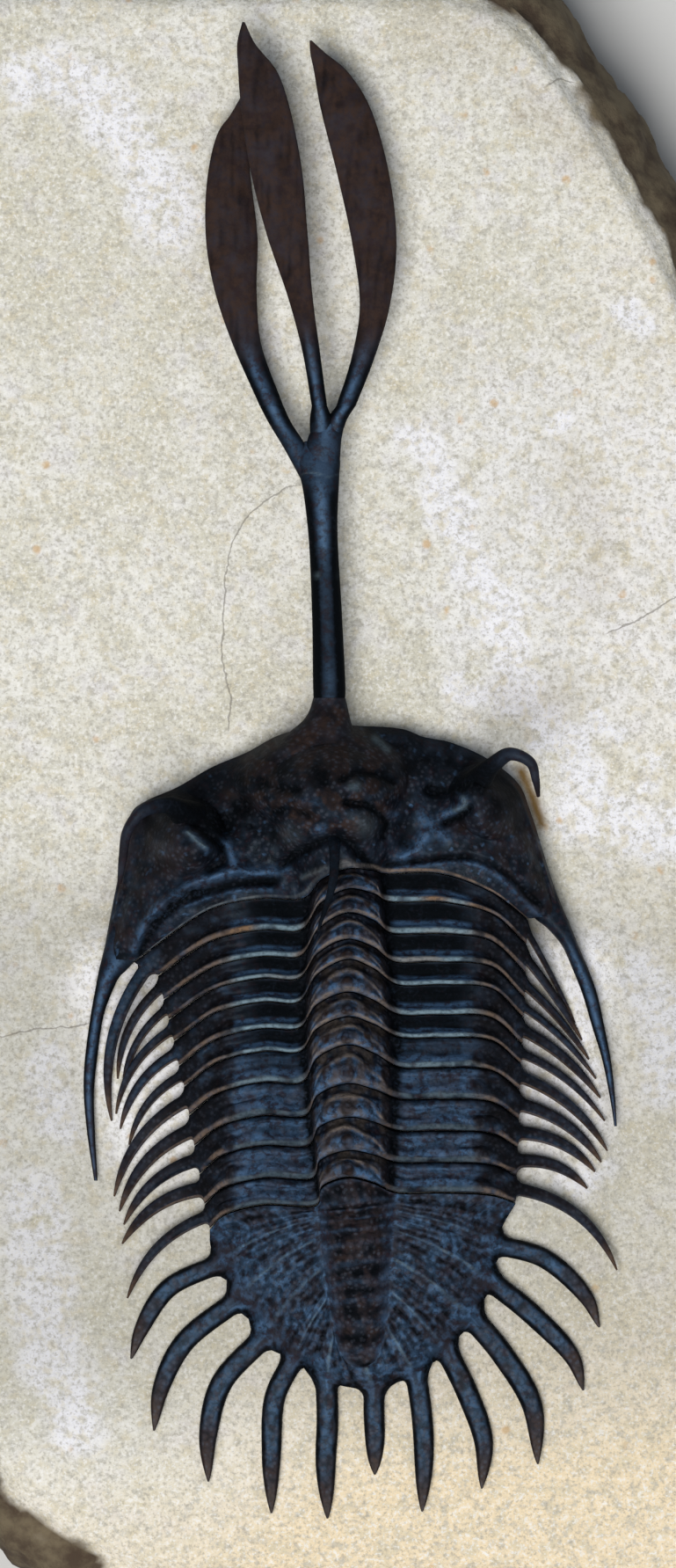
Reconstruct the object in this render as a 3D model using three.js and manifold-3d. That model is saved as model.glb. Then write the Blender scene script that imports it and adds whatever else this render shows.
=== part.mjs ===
// A long-forked trilobite lying back up on its piece of limestone, in millimetres.
// +Z is up out of the stone, +Y runs toward the tips of the trident, +X is the animal's right.
// The origin is under the middle of the stone, on the surface it rests on.
// The animal lies a few degrees askew on the stone, so its left and right sides are given apart.

import * as THREE from 'three';
import { mergeVertices } from 'three/addons/utils/BufferGeometryUtils.js';
import Module from 'manifold-3d';

const wasm = await Module();
wasm.setup();

// The stone
const STONE_TOP = 12;
const STONE_WIDEST_Z = 5.5;
const STONE_FOOT_INSET = 1.5;
const RIND_WIDTH = 2.7;
const MOUND_HEIGHT = 1.6;
const MOUND_CENTRE = [0.9, -13.5];
const MOUND_REACH = [11, 21];
const STONE_OUTLINE = [
  [12.8, 44.6], [9.4, 47.7], [3, 48.5], [-8, 48.4], [-17, 48.5], [-22, 47.9], [-23.5, 44], [-23.3, 32],
  [-23.5, 12], [-23.4, -10], [-23.5, -28], [-22.6, -37.5], [-20.4, -42.8], [-16.4, -46.2], [-11, -48.2],
  [-2, -48.5], [8, -48.4], [17, -48.5], [22, -47.9], [23.5, -44], [23.4, -30], [23.5, -12], [23.4, 6],
  [23.2, 20], [21.4, 30], [17.5, 37.6], [15.3, 41.1],
];

// Room left between neighbouring plates, and between the plates and the stone
const JOINT_GAP = 0.3;
const FLOOR_GAP = 0.3;

// The thorax: where the rear edge of each plate crosses the left pleura, the axis and the right pleura.
// The first entry is the rear edge of the head shield, the last that of the eleventh segment.
const LEFT_EDGES = [-6.5, -8.3, -9.8, -11.05, -12.4, -13.9, -15.2, -16.95, -18.85, -20.55, -22.4, -23.9];
const AXIS_EDGES = [-4.8, -5.95, -7.3, -8.8, -9.95, -11.8, -13.2, -14.8, -17, -18.9, -20.8, -22.3];
const RIGHT_EDGES = [-5.1, -6.7, -8.5, -10.1, -11.4, -13.1, -14.4, -16.1, -17.9, -19.7, -21.5, -23.2];
const SEGMENTS = 11;

// Height of the shell above the foot of the stone, at the head end and at the tail end
const AXIS_TOP = [18.9, 17.6];
const SHOULDER_TOP = [18.3, 17];
const FURROW_TOP = [16.7, 15.9];
const PLEURA_TOP = [17.1, 16.2];
const FULCRUM_TOP = [16.7, 15.8];
const SPINE_BASE_TOP = [14.9, 14.4];

// Pleural spines, from the first segment to the eleventh: where each tip lies
const LEFT_TIPS = [
  [-12.9, -19.2], [-12.55, -16.8], [-12.25, -17.5], [-12.65, -18.8], [-12.4, -19.65], [-11.9, -20.55],
  [-12.75, -23.5], [-12.45, -24.35], [-12.2, -25.1], [-12.3, -26.2], [-12, -29.3],
];
const RIGHT_TIPS = [
  [13.5, -12.1], [14, -13.45], [14.2, -14.55], [14.4, -15.4], [14.8, -17.05], [14.6, -18.55],
  [15.35, -20.9], [15, -21.55], [14.65, -22.1], [14.2, -23.05], [15.9, -27.7],
];
const SPINE_BOW = [0.06, 0.13];
const PLEURAL_SPINE_WIDTH = 0.62;
const PLEURAL_SPINE_DEPTH = 0.8;
const TIP_WIDTH = 0.1;
const TIP_ABOVE_STONE = 0.9;

// The head shield: its free edge from the left genal corner round the front to the right one
const HEAD_EDGE = [
  [-13.4, -9.9], [-13, -7.7], [-12.3, -4.2], [-11.75, -1.6], [-11, -1], [-9.2, -0.2], [-7.2, 0.95],
  [-5.2, 1.8], [-3.3, 2.8], [-1, 3.3], [1.5, 3.3], [3.8, 3.1], [4.8, 2.7], [6.3, 2.4], [8.4, 1.5],
  [10.3, 0], [10.9, -1.4], [11.7, -3.9], [12.3, -6], [12.75, -7.4],
];
const HEAD_RIM_ABOVE_STONE = 1.5;
const HEAD_ROWS = 9;
const LEFT_EYE = [-8.5, -2.9];
const RIGHT_EYE = [8.4, -0.8];
const EYE_REACH = 2.1;
const EYE_HEIGHT = 2.2;
const GLABELLA_CENTRE = [-1, 0.2];
const GLABELLA_REACH = [5.4, 3.6];
const GLABELLA_HEIGHT = 2.7;

// Round spines of the head: x, y, z and diameter along each
const LEFT_EYE_SPINE = [
  [-8.9, -1.5, 17, 1.2], [-9.6, -1.2, 18.6, 0.8], [-11, -1.5, 19.3, 0.7], [-11.9, -2.6, 19, 0.6],
  [-12.2, -4.2, 18.2, 0.5], [-12.4, -5.6, 17.4, 0.25],
];
const RIGHT_EYE_SPINE = [
  [8.1, 0.1, 17, 1.2], [8.7, 1.1, 19.3, 0.8], [9.8, 1.7, 20.2, 0.7], [10.9, 1.2, 20.3, 0.6],
  [11.2, 0.2, 20, 0.45], [11.35, -0.7, 19.5, 0.2],
];
const OCCIPITAL_SPINE = [
  [-0.3, -2.7, 18.2, 0.9], [-0.2, -3.8, 20, 0.6], [-0.3, -5.6, 20.6, 0.5], [-1.1, -8.2, 20.9, 0.15],
];

// Flat tapering pieces: y, left edge x, right edge x, height of the middle, thickness
const LEFT_GENAL_SPINE = [
  [-8.6, -13.1, -11.4, 13.9, 1.8], [-10.4, -13.5, -12.1, 13.6, 1.5], [-11.9, -13.8, -12.9, 13.4, 1.3],
  [-13.9, -14.2, -13.4, 13.2, 1.1], [-15.9, -14.4, -13.7, 13, 1], [-17.5, -14.5, -13.85, 12.9, 0.9],
  [-19.9, -14.3, -13.9, 12.9, 0.7], [-22.6, -13.9, -13.7, 12.9, 0.3],
];
const RIGHT_GENAL_SPINE = [
  [-6.6, 10.9, 12.5, 13.9, 1.8], [-8.2, 12, 13.3, 13.6, 1.5], [-10.4, 13.3, 14.2, 13.4, 1.3],
  [-11.9, 13.9, 14.75, 13.3, 1.2], [-13.9, 14.5, 15.2, 13.1, 1], [-15.7, 15.05, 15.55, 13, 0.9],
  [-17.9, 15.5, 15.8, 12.9, 0.6], [-19.5, 15.75, 15.9, 12.9, 0.3],
];
const TRIDENT_BASE = [
  [1.5, -3.2, 1.3, 16.2, 3.6], [3.1, -2.5, 0.85, 15.8, 2.9], [4.2, -1.8, 0.6, 15.6, 2.1],
  [4.75, -1.4, 0.5, 15.5, 1.7],
];
const TRIDENT_STEM = [
  [5.05, -1.4, 0.42, 15.5, 1.6], [9.6, -1.48, 0.23, 15.2, 1.45], [14.6, -1.73, -0.03, 14.9, 1.35],
  [17.6, -2.2, 0.05, 14.7, 1.3], [18.7, -2.7, 0.1, 14.6, 1.2],
];
const FORK_LEFT = [
  [17.3, -2.1, -1.1, 14.6, 1.1], [19.1, -3.08, -1.75, 14.5, 1.1], [20.6, -3.98, -2.68, 14.4, 1],
  [21.5, -4.45, -3.1, 14.3, 1],
];
const FORK_MIDDLE = [
  [17.3, -1.9, -0.3, 14.7, 1.1], [19.6, -1.73, -0.33, 14.7, 1.1], [21.5, -1.5, -0.62, 14.8, 0.95],
];
const FORK_RIGHT = [
  [17.3, -1.3, 0.05, 14.6, 1.1], [19.6, -0.9, 0.18, 14.6, 1.1], [20.6, -0.6, 0.5, 14.6, 1],
  [21.5, -0.1, 1, 14.6, 0.95],
];
const LEFT_TINE = [
  [21.8, -4.6, -3.2, 14.3, 1], [25.1, -6.03, -4.38, 14.1, 0.95], [28.1, -7.03, -4.63, 14, 0.9],
  [31.1, -7.53, -4.58, 13.9, 0.9], [34.6, -7.43, -4.98, 13.8, 0.85], [37.1, -6.83, -5.18, 13.7, 0.7],
  [38.1, -6.13, -5.28, 13.7, 0.5], [39.1, -5.55, -5.4, 13.7, 0.2],
];
const MIDDLE_TINE = [
  [21.8, -1.48, -0.63, 14.8, 0.95], [24.6, -2.03, -1.03, 15.1, 0.95], [27.6, -2.83, -1.43, 15.5, 0.95],
  [31.3, -4.08, -1.73, 15.9, 0.95], [35.1, -5.03, -2.08, 16, 0.9], [39.1, -5.58, -2.93, 15.8, 0.8],
  [40.6, -5.68, -3.53, 15.7, 0.7], [42.1, -5.73, -4.73, 15.6, 0.45], [43.3, -5.45, -5.3, 15.5, 0.2],
];
const RIGHT_TINE = [
  [21.8, 0.03, 1.13, 14.6, 0.95], [24.1, 0.73, 2.03, 14.6, 0.95], [27.1, 1.23, 2.93, 14.6, 0.95],
  [30.6, 0.83, 3.33, 14.6, 0.95], [34.6, -0.03, 2.93, 14.6, 0.9], [38.6, -1.03, 1.78, 14.5, 0.8],
  [40.6, -1.38, 0.48, 14.4, 0.65], [41.6, -1.58, -0.73, 14.4, 0.4], [42.3, -1.62, -1.5, 14.4, 0.2],
];

// The tail shield: its free edge between the spines, from the left front corner round to the right one
const TAIL_EDGE = [
  [-7.25, -26.3], [-6.35, -28.2], [-5.1, -30.4], [-3.3, -32.4], [-1.95, -33.2], [0.7, -34.3],
  [3.4, -34], [5.4, -32.9], [6.9, -31.4], [8.35, -29.3], [9, -27.2], [9.35, -25.2],
];
const TAIL_RIM_ABOVE_STONE = 1.4;
const TAIL_ROWS = 6;
const TAIL_AXIS = [[0.6, -22.6], [1.6, -33.2]];
const TAIL_AXIS_WIDTH = [4.4, 1.6];
const TAIL_AXIS_HEIGHT = 0.7;
const TAIL_RIB_HEIGHT = 0.13;
const TAIL_SPINE_DEPTH = 1;
const TAIL_TIP_ABOVE_STONE = 0.6;
// Spines of the tail: root, two points along the middle and tip in plan, then the width
const TAIL_SPINES = [
  [[9.2, -25.7], [11.8, -27], [14.15, -29.2], [14.9, -30.9], 1],
  [[8.4, -28.1], [11.1, -30.2], [13.35, -32.6], [14, -34.5], 1.1],
  [[6.5, -30.5], [9.35, -32.4], [11.05, -35.3], [11.4, -38.7], 1.15],
  [[5.6, -32], [7.4, -34.7], [8.3, -37.4], [8.2, -40.1], 1.1],
  [[4.1, -33.3], [4.8, -36.1], [4.9, -38.4], [4.8, -41.4], 1.05],
  [[1.9, -33.8], [2.05, -35.6], [2.1, -37.2], [2.1, -39.3], 1.2],
  [[-0.6, -33.2], [-0.6, -36.2], [-0.7, -38.6], [-0.6, -41.8], 1.1],
  [[-2.6, -32.4], [-3.6, -34.9], [-3.8, -38], [-3.8, -41.5], 1.05],
  [[-4.4, -30.9], [-6.65, -34.1], [-7.4, -37], [-7.4, -39.7], 1.15],
  [[-5.3, -28.9], [-8.8, -31.8], [-10.1, -34.4], [-10.5, -36.8], 1.1],
  [[-6.5, -26.8], [-9.7, -28.7], [-11.2, -31], [-11.8, -32.7], 1],
];

const STONE_CREAM = new THREE.MeshStandardMaterial({ color: 0xd9d3c0, roughness: 0.95, metalness: 0 });
const SHELL_BLACK = new THREE.MeshStandardMaterial({ color: 0x2a2e38, roughness: 0.45, metalness: 0 });

function mix(a, b, t) {
  return a + (b - a) * t;
}

function smoothstep(from, to, value) {
  const t = Math.min(Math.max((value - from) / (to - from), 0), 1);
  return t * t * (3 - 2 * t);
}

// Height of the stone's top over a point of the plan
function ground(x, y) {
  const out = Math.hypot((x - MOUND_CENTRE[0]) / MOUND_REACH[0], (y - MOUND_CENTRE[1]) / MOUND_REACH[1]);
  const wave = 0.2 * Math.sin(0.19 * x + 1) * Math.cos(0.13 * y);
  return STONE_TOP + wave + MOUND_HEIGHT * (1 - smoothstep(0.45, 1.3, out));
}

function curveThrough(points, closed = false) {
  const vectors = points.map((p) => new THREE.Vector3(p[0], p[1], p[2] ?? 0));
  return new THREE.CatmullRomCurve3(vectors, closed, 'centripetal');
}

// Points on a curve through the given ones, with the given number of steps in each stretch
function finer(points, steps) {
  const curve = curveThrough(points);
  const stretches = points.length - 1;
  const result = [];
  for (let stretch = 0; stretch < stretches; stretch += 1) {
    const count = Array.isArray(steps) ? steps[stretch] : steps;
    for (let step = 0; step < count; step += 1) {
      result.push(curve.getPoint((stretch + step / count) / stretches).toArray());
    }
  }
  result.push(points[stretches].slice());
  return result;
}

// A closed skin over rings of equally many points, its two ends drawn together in a point
function skin(rings) {
  const count = rings[0].length;
  const positions = rings.flat(2);
  const triangles = [];
  for (let ring = 0; ring + 1 < rings.length; ring += 1) {
    for (let i = 0; i < count; i += 1) {
      const next = (i + 1) % count;
      const a = ring * count + i;
      const b = ring * count + next;
      const c = a + count;
      const d = b + count;
      triangles.push(a, b, d, a, d, c);
    }
  }
  const first = positions.length / 3;
  positions.push(...middle(rings[0]), ...middle(rings[rings.length - 1]));
  const lastRing = (rings.length - 1) * count;
  for (let i = 0; i < count; i += 1) {
    const next = (i + 1) % count;
    triangles.push(first, next, i, first + 1, lastRing + i, lastRing + next);
  }
  return outward(positions, triangles);
}

function middle(ring) {
  const sum = [0, 0, 0];
  for (const point of ring) {
    point.forEach((value, axis) => {
      sum[axis] += value / ring.length;
    });
  }
  return sum;
}

// A geometry whose faces point out, whichever way round its rings ran
function outward(positions, triangles) {
  let volume = 0;
  const corner = (index) => new THREE.Vector3().fromArray(positions, 3 * index);
  for (let i = 0; i < triangles.length; i += 3) {
    volume += corner(triangles[i]).dot(corner(triangles[i + 1]).cross(corner(triangles[i + 2])));
  }
  const faces = volume < 0 ? triangles.slice().reverse() : triangles;
  const geometry = new THREE.BufferGeometry();
  geometry.setAttribute('position', new THREE.Float32BufferAttribute(positions, 3));
  geometry.setIndex(faces);
  return geometry;
}

function solidOf(geometry) {
  const merged = mergeVertices(geometry, 1e-4);
  return new wasm.Manifold(new wasm.Mesh({
    numProp: 3,
    vertProperties: new Float32Array(merged.attributes.position.array),
    triVerts: new Uint32Array(merged.index.array),
  }));
}

function joined(geometries) {
  const solids = geometries.map(solidOf);
  const whole = solids.reduce((sum, solid) => sum.add(solid));
  const mesh = whole.getMesh();
  const geometry = new THREE.BufferGeometry();
  geometry.setAttribute('position', new THREE.BufferAttribute(mesh.vertProperties, 3));
  geometry.setIndex(new THREE.BufferAttribute(mesh.triVerts, 1));
  return geometry;
}

// A round spine along points of x, y, z and diameter
function roundSpine(points, sides = 7, steps = 2) {
  const path = curveThrough(points);
  const stretches = points.length - 1;
  const rings = [];
  for (let step = 0; step <= stretches * steps; step += 1) {
    const t = step / (stretches * steps);
    const at = Math.min(Math.floor(t * stretches), stretches - 1);
    const radius = mix(points[at][3], points[at + 1][3], t * stretches - at) / 2;
    const along = path.getTangent(t);
    const side = new THREE.Vector3().crossVectors(along, new THREE.Vector3(0, 0, 1)).normalize();
    const over = new THREE.Vector3().crossVectors(side, along);
    const centre = path.getPoint(t);
    const ring = [];
    for (let i = 0; i < sides; i += 1) {
      const angle = (2 * Math.PI * i) / sides;
      const point = centre.clone();
      point.addScaledVector(side, radius * Math.cos(angle));
      point.addScaledVector(over, radius * Math.sin(angle));
      ring.push(point.toArray());
    }
    rings.push(ring);
  }
  return skin(rings);
}

// A flat tapering piece from rows of y, left x, right x, middle height and thickness
function blade(rows, steps = 2, sides = 6) {
  const lefts = finer(rows.map((row) => [row[1], row[0], row[3]]), steps);
  const rights = finer(rows.map((row) => [row[2], row[0], row[4]]), steps);
  const rings = lefts.map(([left, y, z], index) => {
    const [right, , thickness] = rights[index];
    const ring = [];
    for (let i = 0; i < sides; i += 1) {
      const angle = (2 * Math.PI * i) / sides;
      const across = (Math.cos(angle) * (right - left)) / 2;
      ring.push([(left + right) / 2 + across, y, z + (Math.sin(angle) * thickness) / 2]);
    }
    return ring;
  });
  return skin(rings);
}

// The stone: flat foot, bulging broken sides, and a top that rises in a low mound under the animal
function stone() {
  const around = 44;
  const edge = curveThrough(STONE_OUTLINE, true).getSpacedPoints(around).slice(0, around);
  const sink = (point, inset, z) => {
    const reach = Math.hypot(point.x, point.y);
    const scale = (reach - inset) / reach;
    return [point.x * scale, point.y * scale, z];
  };
  const rings = [
    edge.map((point) => sink(point, STONE_FOOT_INSET, 0)),
    edge.map((point) => sink(point, STONE_FOOT_INSET / 3, 2)),
    edge.map((point) => sink(point, 0, STONE_WIDEST_Z)),
    edge.map((point) => sink(point, RIND_WIDTH / 3, 9)),
  ];
  const topRings = 11;
  for (let ring = 0; ring < topRings; ring += 1) {
    const share = 1 - ring / topRings;
    rings.push(edge.map((point) => {
      const [x, y] = sink(point, RIND_WIDTH, 0);
      const drop = 1.1 * smoothstep(0.94, 1, share);
      return [x * share, y * share, ground(x * share, y * share) - drop];
    }));
  }
  return skin(rings);
}

// Rear edge of the head shield (0) or of a segment (1 to 11), from the left spine's root to the right one's
function plateEdge(index) {
  const t = index / SEGMENTS;
  const left = LEFT_EDGES[index];
  const axis = AXIS_EDGES[index];
  const right = RIGHT_EDGES[index];
  const at = (heights) => mix(heights[0], heights[1], t);
  const leftRoot = index === 0 ? [-11.6, left - 3.6] : [mix(-10.5, -7.3, t), left - mix(2.7, 1.4, t)];
  const rightRoot = [mix(10.8, 10.1, t), right - mix(2.6, 0.6, t)];
  const narrowing = Math.sin(Math.PI * t);
  return [
    [...leftRoot, at(SPINE_BASE_TOP)],
    [mix(-7.2, -6.5, t), left - 0.6, at(FULCRUM_TOP)],
    [-4.3, left, at(PLEURA_TOP)],
    [mix(-2, -1.2, t) - 0.6 * narrowing, left, at(FURROW_TOP)],
    [-0.9 - 0.3 * narrowing, mix(left, axis, 0.65), at(SHOULDER_TOP)],
    [0.55, axis, at(AXIS_TOP)],
    [2, mix(right, axis, 0.65), at(SHOULDER_TOP)],
    [mix(2.7, 3.3, t) + 0.5 * narrowing, right, at(FURROW_TOP)],
    [5.8, right, at(PLEURA_TOP)],
    [8.7, right - mix(1.05, 0.15, 1 - (1 - t) ** 6), at(FULCRUM_TOP)],
    [...rightRoot, at(SPINE_BASE_TOP)],
  ];
}

// Steps in each stretch of such an edge, and the first and last of its stations on the axial ring
const EDGE_STEPS = [2, 1, 1, 1, 2, 2, 1, 1, 1, 2];
const AXIS_STATIONS = [5, 9];
const SHIELD_STEPS = [3, 2, 2, 1, 2, 2, 1, 2, 2, 3];
const TAIL_STEPS = [3, 3, 4, 2, 2, 2, 2, 4, 3, 3];

// Height of each row of a plate's section over its edge curves: front lip, furrow, rear ridge, rear lip
const PLEURA_ROWS = [[0, -0.25], [0.3, -0.45], [0.7, 0.12], [1, -0.05]];
const AXIS_ROWS = [[0, -0.35], [0.3, 0], [0.7, 0.15], [1, 0]];
const SPINE_ROWS = [[0, -0.3], [0.35, 0], [0.65, 0], [1, -0.3]];

function sectionOf(front, back, rows, floor) {
  const ring = rows.map(([share, lift]) => [
    mix(front[0], back[0], share),
    mix(front[1], back[1], share),
    mix(front[2], back[2], share) + lift,
  ]);
  ring.push([back[0], back[1], floor], [front[0], front[1], floor]);
  return ring;
}

// Sections of a pleural spine from just off its root to its tip
function pleuralSpine(root, tip, bow) {
  const [dx, dy] = [tip[0] - root[0], tip[1] - root[1]];
  const outer = Math.sign(dx);
  const bend = [root[0] + dx / 2 - outer * dy * 2 * bow, root[1] + dy / 2 + outer * dx * 2 * bow];
  const tipTop = ground(tip[0], tip[1]) + TIP_ABOVE_STONE;
  const path = new THREE.QuadraticBezierCurve3(
    new THREE.Vector3(...root),
    new THREE.Vector3(bend[0], bend[1], mix(root[2], tipTop, 0.6)),
    new THREE.Vector3(tip[0], tip[1], tipTop),
  );
  const sections = [];
  for (const t of [0.13, 0.35, 0.58, 0.8, 1]) {
    const point = path.getPoint(t);
    const along = path.getTangent(t).setZ(0).normalize();
    const width = mix(PLEURAL_SPINE_WIDTH, TIP_WIDTH, t ** 1.5);
    const depth = mix(PLEURAL_SPINE_DEPTH, 2 * TIP_WIDTH, t);
    const across = [(-outer * along.y * width) / 2, (outer * along.x * width) / 2];
    const front = [point.x + across[0], point.y + across[1], point.z];
    const back = [point.x - across[0], point.y - across[1], point.z];
    const rows = SPINE_ROWS.map(([share, lift]) => [share, lift * mix(1, 0.2, t)]);
    sections.push(sectionOf(front, back, rows, point.z - depth));
  }
  return sections;
}

function segment(index) {
  const fronts = finer(plateEdge(index - 1), EDGE_STEPS);
  const backs = finer(plateEdge(index), EDGE_STEPS);
  const rootShare = mix(0.5, 0.75, (index - 1) / (SEGMENTS - 1));
  const roots = [0, fronts.length - 1].map((end) => [
    mix(fronts[end][0], backs[end][0], rootShare),
    mix(fronts[end][1], backs[end][1], rootShare),
    backs[end][2] - 0.2,
  ]);
  const sections = fronts.map(([x, y, z], station) => {
    const front = [x, y - JOINT_GAP / 2, z];
    const back = [backs[station][0], backs[station][1] + JOINT_GAP / 2, backs[station][2]];
    const onAxis = station >= AXIS_STATIONS[0] && station <= AXIS_STATIONS[1];
    const stoneUnder = Math.max(ground(front[0], front[1]), ground(back[0], back[1]));
    return sectionOf(front, back, onAxis ? AXIS_ROWS : PLEURA_ROWS, stoneUnder + FLOOR_GAP);
  });
  const bow = mix(SPINE_BOW[0], SPINE_BOW[1], (index - 1) / (SEGMENTS - 1));
  const left = pleuralSpine(roots[0], LEFT_TIPS[index - 1], bow).reverse();
  const right = pleuralSpine(roots[1], RIGHT_TIPS[index - 1], bow);
  return skin([...left, ...sections, ...right]);
}

// A shield between its edge against the thorax and its free edge, both run from left to right. Its top
// follows a height function of the place and of the share of the way out to the free edge.
function shield(inner, free, rows, heightAt) {
  const sections = inner.map((start, station) => {
    const end = free[station];
    const top = [];
    const floor = [];
    for (let row = 0; row <= rows; row += 1) {
      const share = row / rows;
      const x = mix(start[0], end[0], share);
      const y = mix(start[1], end[1], share);
      top.push([x, y, heightAt(x, y, share, start[2], end[2], station)]);
      floor.unshift([x, y, ground(x, y) + FLOOR_GAP]);
    }
    return [...top, ...floor];
  });
  return skin(sections);
}

// The free edge of a shield, as equally many points as its other edge, at a height above the stone
function freeEdge(points, count, aboveStone) {
  const edge = curveThrough(points).getSpacedPoints(count - 1);
  return edge.map((point) => [point.x, point.y, ground(point.x, point.y) + aboveStone]);
}

// Height of a round swelling over a point, nothing outside its reach
function swelling(x, y, centre, reach, height) {
  const out = Math.hypot((x - centre[0]) / reach[0], (y - centre[1]) / reach[1]);
  return out < 1 ? height * Math.sqrt(1 - out * out) : 0;
}

function headHeight(x, y, share, thoraxTop, rim) {
  const eyeReach = [EYE_REACH, EYE_REACH];
  const eyes = swelling(x, y, LEFT_EYE, eyeReach, EYE_HEIGHT) + swelling(x, y, RIGHT_EYE, eyeReach, EYE_HEIGHT);
  const glabella = swelling(x, y, GLABELLA_CENTRE, GLABELLA_REACH, GLABELLA_HEIGHT);
  return mix(thoraxTop, rim, share ** 3) + (eyes + glabella) * (1 - share ** 10);
}

function cephalon() {
  const rear = finer(plateEdge(0), SHIELD_STEPS).map(([x, y, z]) => [x, y + JOINT_GAP / 2, z]);
  const front = freeEdge(HEAD_EDGE, rear.length, HEAD_RIM_ABOVE_STONE);
  return joined([
    shield(rear, front, HEAD_ROWS, headHeight),
    roundSpine(LEFT_EYE_SPINE),
    roundSpine(RIGHT_EYE_SPINE),
    roundSpine(OCCIPITAL_SPINE),
    blade(LEFT_GENAL_SPINE, 1),
    blade(RIGHT_GENAL_SPINE, 1),
    blade(TRIDENT_BASE, 1),
  ]);
}

function tridentShaft() {
  return joined([blade(TRIDENT_STEM), blade(FORK_LEFT), blade(FORK_MIDDLE), blade(FORK_RIGHT)]);
}

function tailHeight(x, y, share, thoraxTop, rim, station) {
  const [[headX, headY], [tailX, tailY]] = TAIL_AXIS;
  const along = Math.min(Math.max((y - headY) / (tailY - headY), 0), 1);
  const off = Math.abs(x - mix(headX, tailX, along));
  const halfWidth = mix(TAIL_AXIS_WIDTH[0], TAIL_AXIS_WIDTH[1], along) / 2;
  const axis = off < halfWidth ? TAIL_AXIS_HEIGHT * Math.sqrt(1 - (off / halfWidth) ** 2) : 0;
  const rib = station % 2 === 0 ? TAIL_RIB_HEIGHT : -TAIL_RIB_HEIGHT;
  const field = mix(thoraxTop, rim, share ** 2.2);
  return field + (axis * smoothstep(0.1, 0.6, share) + rib) * (1 - share ** 6);
}

function tailSpine([root, first, second, tip, width]) {
  const rootMiddle = ground(...root) + TAIL_RIM_ABOVE_STONE - TAIL_SPINE_DEPTH / 2;
  const tipMiddle = ground(...tip) + TAIL_TIP_ABOVE_STONE;
  const path = curveThrough([
    [...root, rootMiddle],
    [...first, mix(rootMiddle, tipMiddle, 0.2)],
    [...second, mix(rootMiddle, tipMiddle, 0.6)],
    [...tip, tipMiddle],
  ]);
  const rings = [];
  const sides = 6;
  for (const t of [0, 0.25, 0.5, 0.75, 0.9, 1]) {
    const centre = path.getPoint(t);
    const along = path.getTangent(t).setZ(0).normalize();
    const halfWidth = mix(width, TIP_WIDTH, t ** 5) / 2;
    const halfDepth = mix(TAIL_SPINE_DEPTH, TIP_WIDTH, t ** 3) / 2;
    const ring = [];
    for (let i = 0; i < sides; i += 1) {
      const angle = (2 * Math.PI * i) / sides;
      const across = halfWidth * Math.cos(angle);
      const up = halfDepth * Math.sin(angle);
      ring.push([centre.x - along.y * across, centre.y + along.x * across, centre.z + up]);
    }
    rings.push(ring);
  }
  return skin(rings);
}

function pygidium() {
  const front = finer(plateEdge(SEGMENTS), TAIL_STEPS).map(([x, y, z]) => [x, y - JOINT_GAP / 2, z]);
  const rear = freeEdge(TAIL_EDGE, front.length, TAIL_RIM_ABOVE_STONE);
  return joined([shield(front, rear, TAIL_ROWS, tailHeight), ...TAIL_SPINES.map(tailSpine)]);
}

const trilobite = new THREE.Group();

function addPiece(name, geometry, material) {
  const piece = new THREE.Mesh(geometry, material);
  piece.name = name;
  trilobite.add(piece);
}

addPiece('matrix_slab', stone(), STONE_CREAM);
addPiece('cephalon', cephalon(), SHELL_BLACK);
addPiece('trident_shaft', tridentShaft(), SHELL_BLACK);
addPiece('trident_left_tine', blade(LEFT_TINE), SHELL_BLACK);
addPiece('trident_middle_tine', blade(MIDDLE_TINE), SHELL_BLACK);
addPiece('trident_right_tine', blade(RIGHT_TINE), SHELL_BLACK);
for (let index = 1; index <= SEGMENTS; index += 1) {
  addPiece(`thorax_segment_${String(index).padStart(2, '0')}`, segment(index), SHELL_BLACK);
}
addPiece('pygidium', pygidium(), SHELL_BLACK);

export default trilobite;
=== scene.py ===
# The look of a long-forked trilobite lying back up on its piece of limestone, built around the frame.
# Shapes are worked out in millimetres in the frame's own axes: +Z up out of the stone, +Y toward the
# tips of the trident, +X the animal's right. build_piece turns them into metres.

import math
from collections import namedtuple

import bmesh
import bpy
import numpy as np
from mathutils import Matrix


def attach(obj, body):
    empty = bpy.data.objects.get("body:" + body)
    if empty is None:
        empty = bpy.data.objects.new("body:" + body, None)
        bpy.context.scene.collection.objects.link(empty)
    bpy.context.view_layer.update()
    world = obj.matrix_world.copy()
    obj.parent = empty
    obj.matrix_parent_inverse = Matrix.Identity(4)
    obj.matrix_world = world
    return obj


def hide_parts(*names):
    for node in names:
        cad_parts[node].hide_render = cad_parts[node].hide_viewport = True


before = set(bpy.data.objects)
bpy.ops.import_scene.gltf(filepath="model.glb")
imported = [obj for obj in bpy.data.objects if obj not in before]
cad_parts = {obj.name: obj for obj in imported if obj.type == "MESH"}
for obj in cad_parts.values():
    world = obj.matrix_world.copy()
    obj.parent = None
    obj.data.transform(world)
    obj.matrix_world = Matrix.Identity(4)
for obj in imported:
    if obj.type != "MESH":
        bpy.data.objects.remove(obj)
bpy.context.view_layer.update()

MM = 0.001

# The camera looks straight down and shows as much of the object as the photograph does
PHOTO_HEIGHT = 1783
PIXELS_PER_MM = 20
CAMERA_HEIGHT = 1000
CAMERA_SENSOR = 36
SHELL_HEIGHT = 15

# Half the floor's side, and the width of the lamps, in metres
FLOOR_HALF = 1.5
LAMP_SIZE = 0.5

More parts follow.
